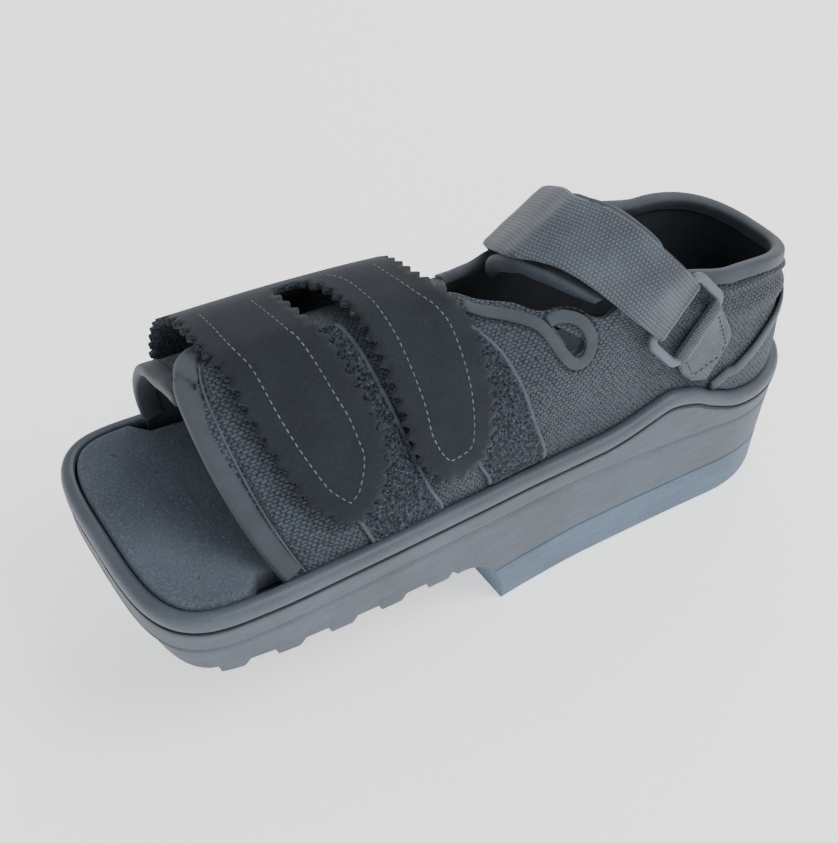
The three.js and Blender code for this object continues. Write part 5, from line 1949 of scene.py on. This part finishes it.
@dataclass
class AnkleClosure:
    """Instep pad, ankle strap, ring and ring tab."""

    finishes: Finishes
    strap_width: float = 29.0
    strap_thickness: float = 1.6
    pad_thickness: float = 7.0
    ring_at: Row = (75.0, 100.0)
    ring_tilt: float = -42.0
    ring_length: float = 34.0
    ring_width: float = 21.0
    ring_rod: float = 3.4
    ring_stand: float = 1.7
    tab_thickness: float = 1.4
    middle: Row = (88.5, 0.0, 98.7)
    ring_corner: float = 3.0
    tab_end: float = 0.74
    tab_clear: float = 1.5
    wrap_end: float = 0.86
    tilts: Row = (-31, -31, -38)
    pad_rows: Sequence[Row] = (
        (-0.55, 0.418, 0.73, 0.31, 0.79, 0.3), (-0.51, 0.428, 0.765, 0.315, 0.86, 0.45),
        (-0.41, 0.434, 0.802, 0.32, 0.93, 0.8), (-0.2, 0.436, 0.838, 0.33, 0.99, 1),
        (0, 0.43, 0.852, 0.332, 1.01, 1), (0.21, 0.418, 0.852, 0.31, 0.995, 1),
        (0.41, 0.4, 0.838, 0.28, 0.945, 0.8), (0.55, 0.383, 0.82, 0.26, 0.89, 0.5),
        (0.63, 0.37, 0.805, 0.26, 0.862, 0.3),
    )
    strap_rows: Sequence[Row] = (
        (-0.97, 0.252, 0.53, 1.12), (-0.975, 0.276, 0.61, 1.18), (-0.96, 0.304, 0.702, 1.2),
        (-0.915, 0.333, 0.795, 1.22), (-0.76, 0.358, 0.86, 1.22), (-0.5, 0.376, 0.896, 1.18),
        (-0.24, 0.389, 0.928, 1.12), (0, 0.395, 0.951, 1.06), (0.223, 0.381, 0.962, 1.02),
        (0.42, 0.361, 0.949, 0.98), (0.61, 0.344, 0.922, 0.95), (0.785, 0.325, 0.881, 0.92),
        (0.945, 0.305, 0.834, 0.9),
    )
    strap_wrap: Row = (-25, 10, 42, 72)
    tab_wrap: Row = (-60, -30, 0, 30, 60)
    tab_rows: Sequence[Row] = (
        (0.4, 0.17, -0.38, 0.17, 1.7), (0.45, 0.5, -0.27, 0.84, 1.2), (0.46, 0.78, -0.17, 1.16, 0.7),
        (0.45, 1, 0.31, 1.4, 0.5),
    )

    def ring_frame(self) -> RingFrame:
        """Returns where the ring stands."""
        place = LAST.at_height(1, *self.ring_at)
        normal = LAST.normal(place)
        centre = LAST.offset(place, LAST.pad(place) + self.ring_rod / 2 + self.ring_stand)
        tilt = radians(self.ring_tilt)
        long = Vector((cos(tilt), 0, sin(tilt)))
        long = (long - normal * long.dot(normal)).normalized()
        down = normal.cross(long).normalized()
        if down.z > 0:
            down.negate()
        reach = (self.ring_width - self.ring_rod) / 2
        return RingFrame(centre, normal, long, down, centre - down * reach, centre + down * reach)

    def wrap_row(
        self, bar: Vector, degrees: float, thickness: float, width: float, columns: int
    ) -> list[Vector]:
        """Returns a row of points on cloth that passes round a bar of the ring.

        Args:
            bar: the bar's middle.
            degrees: angle round the bar from its outer side, down.
            thickness: thickness of the cloth.
            width: width of the cloth.
            columns: steps across it.
        """
        ring = self.ring_frame()
        radius = self.ring_rod / 2 + 0.3 + thickness
        angle = radians(degrees)
        middle = bar + ring.normal * radius * cos(angle) + ring.down * radius * sin(angle)
        return [middle + ring.long * width * (j / columns - 0.5) for j in range(columns + 1)]

    def finer(self, grid: Grid, per_span: int) -> list[list[Vector]]:
        """Returns more rows of points on smooth curves through the given ones."""
        lines = [spline([row[j] for row in grid], per_span) for j in range(len(grid[0]))]
        return [[line[i] for line in lines] for i in range(len(lines[0]))]

    def thick(
        self,
        name: str,
        grid: Grid,
        thickness: Sequence[float],
        finishes: Sequence[Material],
        round_off: float = 0.5,
        swell: Optional[Callable[[float, float], float]] = None,
    ) -> Piece:
        """Makes a closed sheet under a grid of face points, with rounded long edges.

        Args:
            name: the piece's name.
            grid: rows of points on its face.
            thickness: thickness of each row, in millimetres.
            finishes: the face's and the back's materials.
            round_off: how much of the thickness the edges lose, as a share.
            swell: extra height of the face by row share and column share.

        Returns:
            The new piece.
        """
        middle = Vector(self.middle)
        maker = MeshMaker()
        rows, columns = len(grid), len(grid[0])
        panel = Panel()
        run = 0.0
        for i in range(rows):
            panel.row()
            run += (grid[i][columns // 2] - grid[i - 1][columns // 2]).length if i else 0.0
            width = run_lengths(grid[i])
            for j in range(columns):
                along = grid[min(i + 1, rows - 1)][j] - grid[max(i - 1, 0)][j]
                across = heading(grid[i], j)
                normal = along.cross(across).normalized()
                if normal.dot(grid[i][j] - middle) < 0:
                    normal.negate()
                near = min(width[j], width[-1] - width[j])
                reach = thickness[i] * round_off
                drop = reach * (1 - sqrt(max(1 - (1 - clamp(near / max(reach, 0.01))) ** 2, 0)))
                lift = swell(i / (rows - 1), j / (columns - 1)) if swell else 0.0
                back = grid[i][j] - normal * (thickness[i] - drop * 0.8)
                panel.add(grid[i][j] + normal * (lift - drop), back, (run, width[j]))
        maker.sheet(panel, len(finishes) - 1)
        return maker.build(name, finishes)

    def row_runs(self, rows: Sequence[Row], per_span: int) -> list[list[float]]:
        """Returns finer rows of the same values on smooth curves.

        Args:
            rows: rows of values.
            per_span: steps between two rows.
        """
        count = len(rows)
        columns = [Curve([(i, row[c]) for i, row in enumerate(rows)]) for c in range(len(rows[0]))]
        return [[curve(k / per_span) for curve in columns] for k in range((count - 1) * per_span + 1)]

    def build_pad(self) -> None:
        """Makes the padded piece under the strap, with its rolled front edge."""
        columns = 40
        grid, thickness = [], []
        for side, front_x, front_z, back_x, back_z, share in self.row_runs(self.pad_rows, 8):
            half = LAST.half_width(LAST.length * (front_x + back_x) / 2)
            row = []
            for j in range(columns + 1):
                t = j / columns
                crown = 1.2 * sin(pi * t)
                x = LAST.length * lerp(front_x, back_x, t) + crown * 0.3
                row.append(Vector((x, side * half, LAST.ankle_ridge * lerp(front_z, back_z, t) - crown)))
            grid.append(row)
            thickness.append(self.pad_thickness * share)

        def swell(along: float, across: float) -> float:
            """Returns the folds of the pad's face."""
            roll = hump(across, 0.08, 0.05)
            fold = hump(across, 0.19, 0.04) * -1.6
            second = hump(across, 0.3, 0.05) * 0.6
            rear = hump(across, 0.93, 0.05) * 0.5 - hump(across, 0.84, 0.03) * 0.5
            return (roll + fold + second + rear) * smooth(along, 0.02, 0.15)

        piece = self.thick("instep_pad_body", grid, thickness, [self.finishes.padding], 0.5, swell)
        mesh = piece.data
        mesh.materials.append(self.finishes.dark_tape)
        layer = mesh.uv_layers["flat"]
        for polygon in mesh.polygons:
            v = sum(layer.data[i].uv.y for i in polygon.loop_indices) / len(polygon.loop_indices) / MM
            if v < 3.6:
                polygon.material_index = 1
        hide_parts("instep_pad")

    def strap_grid(self, columns: int, per_span: int) -> list[list[Vector]]:
        """Returns the ankle strap's face as rows across it."""
        last = len(self.strap_rows) - 1
        tilt = Curve([(0, self.tilts[0]), (last / 2, self.tilts[1]), (last, self.tilts[2])])
        narrowing = [(0, 1), (2, 0.84), (3, 0.76), (4, 0.84), (5, 1.02), (6, 1.12), (7, 1.1), (9, 1), (last, 1)]
        rear = Curve(narrowing)
        grid = []
        for i, (side, along, up, share) in enumerate(self.strap_rows):
            angle = radians(tilt(i))
            half = LAST.half_width(LAST.length * along)
            row = []
            for j in range(columns + 1):
                a = self.strap_width * share * (j / columns - 0.5)
                a *= rear(i) if a < 0 else 1.0
                x = LAST.length * along + a * cos(angle)
                row.append(Vector((x, side * half, LAST.ankle_ridge * up + a * sin(angle))))
            grid.append(row)
        upper = self.ring_frame().upper
        width = self.strap_width * self.wrap_end
        for angle in self.strap_wrap:
            grid.append(self.wrap_row(upper, angle, self.strap_thickness, width, columns))
        return self.finer(grid, per_span)

    def build_strap(self) -> None:
        """Makes the ankle strap from the far side into the ring."""
        grid = self.strap_grid(24, 10)

        def swell(along: float, across: float) -> float:
            """Returns the strap's soft waves."""
            free = smooth(along, 0.0, 0.06) * (1 - smooth(along, 0.74, 0.81))
            crest = hump(along, 0.44, 0.03) * 0.5
            fold = hump(along - 0.5 + across * 0.04, 0, 0.016) * -0.7
            wave = 0.5 * noise.noise(Vector((along * 9, across * 3, 2.2)))
            return (crest + fold + wave - 0.2) * free

        piece = self.thick(
            "ankle_band", grid, [self.strap_thickness] * len(grid), [self.finishes.knit], 0.45, swell
        )
        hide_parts("ankle_strap")

    def build_ring(self) -> None:
        """Makes the rounded rectangular ring with its flattened rod."""
        at = self.ring_frame()
        radius = self.ring_corner
        maker = MeshMaker()
        rings = []
        for c, (u, v) in enumerate(((1, 1), (-1, 1), (-1, -1), (1, -1))):
            cu = u * (self.ring_length / 2 - self.ring_rod / 2 - radius)
            cv = v * (self.ring_width / 2 - self.ring_rod / 2 - radius)
            for i in range(9):
                angle = (c + i / 8) * pi / 2
                out = at.long * cos(angle) + at.down * sin(angle)
                corner = at.centre + at.long * cu + at.down * cv + out * radius
                ring = []
                for k in range(16):
                    roll = tau * k / 16
                    ca, sa = cos(roll), sin(roll)
                    flat_a = copysign(abs(ca) ** 0.7, ca) * self.ring_rod * 0.56
                    flat_b = copysign(abs(sa) ** 0.7, sa) * self.ring_rod * 0.5
                    ring.append(corner + out * flat_a + at.normal * flat_b)
                rings.append(ring)
        maker.grid(rings, close_rows=True, close_columns=True)
        piece = maker.build("loop_ring", [self.finishes.ring])
        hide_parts("ring")

    def build_tab(self) -> None:
        """Makes the fabric tab that holds the ring, with its stitching."""
        columns = 22
        lower = self.ring_frame().lower
        tilt = radians(self.ring_tilt)
        slope, fall = cos(tilt), -sin(tilt)
        width = self.ring_length * self.tab_end
        grid = [self.wrap_row(lower, angle, self.tab_thickness, width, columns) for angle in self.tab_wrap]
        corner = self.ring_length * self.tab_rows[-1][0]
        floor = LAST.groove(self.ring_at[0]) + LAST.welt_height + self.tab_clear
        drop = (lower.z - corner * fall - floor) / slope
        for front_a, front_d, back_a, back_d, stand in self.tab_rows:
            row = []
            for j in range(columns, -1, -1):
                a = self.ring_length * lerp(front_a, back_a, j / columns)
                d = drop * lerp(front_d, back_d, j / columns)
                place = LAST.at_height(1, lower.x + a * slope - d * fall, lower.z - a * fall - d * slope)
                row.append(LAST.offset(place, LAST.pad(place) + (stand + 1) * self.tab_thickness))
            grid.append(row)
        grid = self.finer(grid, 6)
        piece = self.thick("ring_tab_cloth", grid, [self.tab_thickness] * len(grid), [self.finishes.tab], 0.5)
        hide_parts("ring_tab")
        inset, first, last = 3, 28, len(grid) - 5
        paths = [[row[c] for row in grid[first : last + 1]] for c in (inset, columns - inset)]
        paths += [grid[i][inset : columns - inset + 1] for i in (first, last)]
        faces = [[self.ring_frame().normal] * len(path) for path in paths]
        row = stitch_row("tab_stitches", self.finishes.dark_thread, paths, faces, Stitch(length=1.8, lift=0.12))

    def build(self) -> None:
        """Makes the ankle closure's pieces."""
        self.build_pad()
        self.build_strap()
        self.build_ring()
        self.build_tab()
        LOG.info("made the ankle closure")


@dataclass
class Studio:
    """Floor, lights and camera."""

    camera_place: Row = (0.29169, 0.34669, 0.40491)
    yaw: float = -122.56
    pitch: float = -39.58
    roll: float = 1.16
    lens: float = 60.91
    sensor: float = 36.0
    floor_size: float = 6.0

    def build_camera(self) -> None:
        """Makes the camera at the photograph's place and angle."""
        data = bpy.data.cameras.new("camera")
        data.lens = self.lens
        data.sensor_fit = "AUTO"
        data.sensor_width = self.sensor
        data.clip_start = 0.01
        camera = bpy.data.objects.new("camera", data)
        bpy.context.scene.collection.objects.link(camera)
        yaw, pitch, roll = (radians(a) for a in (self.yaw, self.pitch, self.roll))
        ahead = Vector((cos(pitch) * cos(yaw), cos(pitch) * sin(yaw), sin(pitch)))
        right = ahead.cross(Vector((0, 0, 1))).normalized()
        up = right.cross(ahead)
        right, up = right * cos(roll) + up * sin(roll), up * cos(roll) - right * sin(roll)
        turn = Matrix((right, up, -ahead)).transposed().to_4x4()
        camera.matrix_world = Matrix.Translation(Vector(self.camera_place)) @ turn
        bpy.context.scene.camera = camera

    def build_light(self, name: str, place: Row, size: float, power: float, aim: Row = (0, 0, 0.07)) -> None:
        """Makes one soft square light that looks at the shoe.

        Args:
            name: the light's name.
            place: where it stands, in metres.
            size: its side, in metres.
            power: its strength in watts.
            aim: where it looks.
        """
        data = bpy.data.lights.new(name, "AREA")
        data.shape = "SQUARE"
        data.size = size
        data.energy = power
        light = bpy.data.objects.new(name, data)
        light.location = place
        light.rotation_euler = (Vector(aim) - Vector(place)).to_track_quat("-Z", "Y").to_euler()
        bpy.context.scene.collection.objects.link(light)

    def build_floor(self) -> None:
        """Makes the pale floor."""
        mesh = bpy.data.meshes.new("floor")
        half = self.floor_size / 2
        corners = [(-half, -half, 0), (half, -half, 0), (half, half, 0), (-half, half, 0)]
        mesh.from_pydata(corners, [], [(0, 1, 2, 3)])
        shader = Shader("floor_paper")
        looks = {"Base Color": (0.92, 0.92, 0.92, 1), "Roughness": 0.9}
        looks.update({"Emission Color": (1, 1, 1, 1), "Emission Strength": 0.8})
        for name, value in looks.items():
            shader.link(shader.surface.inputs[name], value)
        mesh.materials.append(shader.material)
        floor = bpy.data.objects.new("floor", mesh)
        bpy.context.scene.collection.objects.link(floor)

    def build(self) -> None:
        """Makes the studio."""
        self.build_camera()
        self.build_floor()
        self.build_light("key", (-0.5, 0.75, 1.25), 0.9, 17)
        self.build_light("fill", (1.3, 0.9, 0.7), 1.4, 8)
        self.build_light("rim", (-0.9, -0.9, 1.0), 0.9, 9)
        self.build_light("low", (0.5, 1.5, 0.25), 1.0, 5)
        world = bpy.data.worlds.new("world")
        world.use_nodes = True
        world.node_tree.nodes["Background"].inputs["Color"].default_value = (0.93, 0.95, 1.0, 1)
        world.node_tree.nodes["Background"].inputs["Strength"].default_value = 0.75
        bpy.context.scene.world = world


def main() -> None:
    """Builds the shoe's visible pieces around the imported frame."""
    logging.basicConfig(level=logging.INFO, format="%(message)s")
    finishes = Finishes()
    SoleUnit(finishes).build()
    Upper(finishes).build()
    ForefootClosure(finishes).build()
    AnkleClosure(finishes).build()
    Studio().build()


if __name__ == "__main__":
    main()
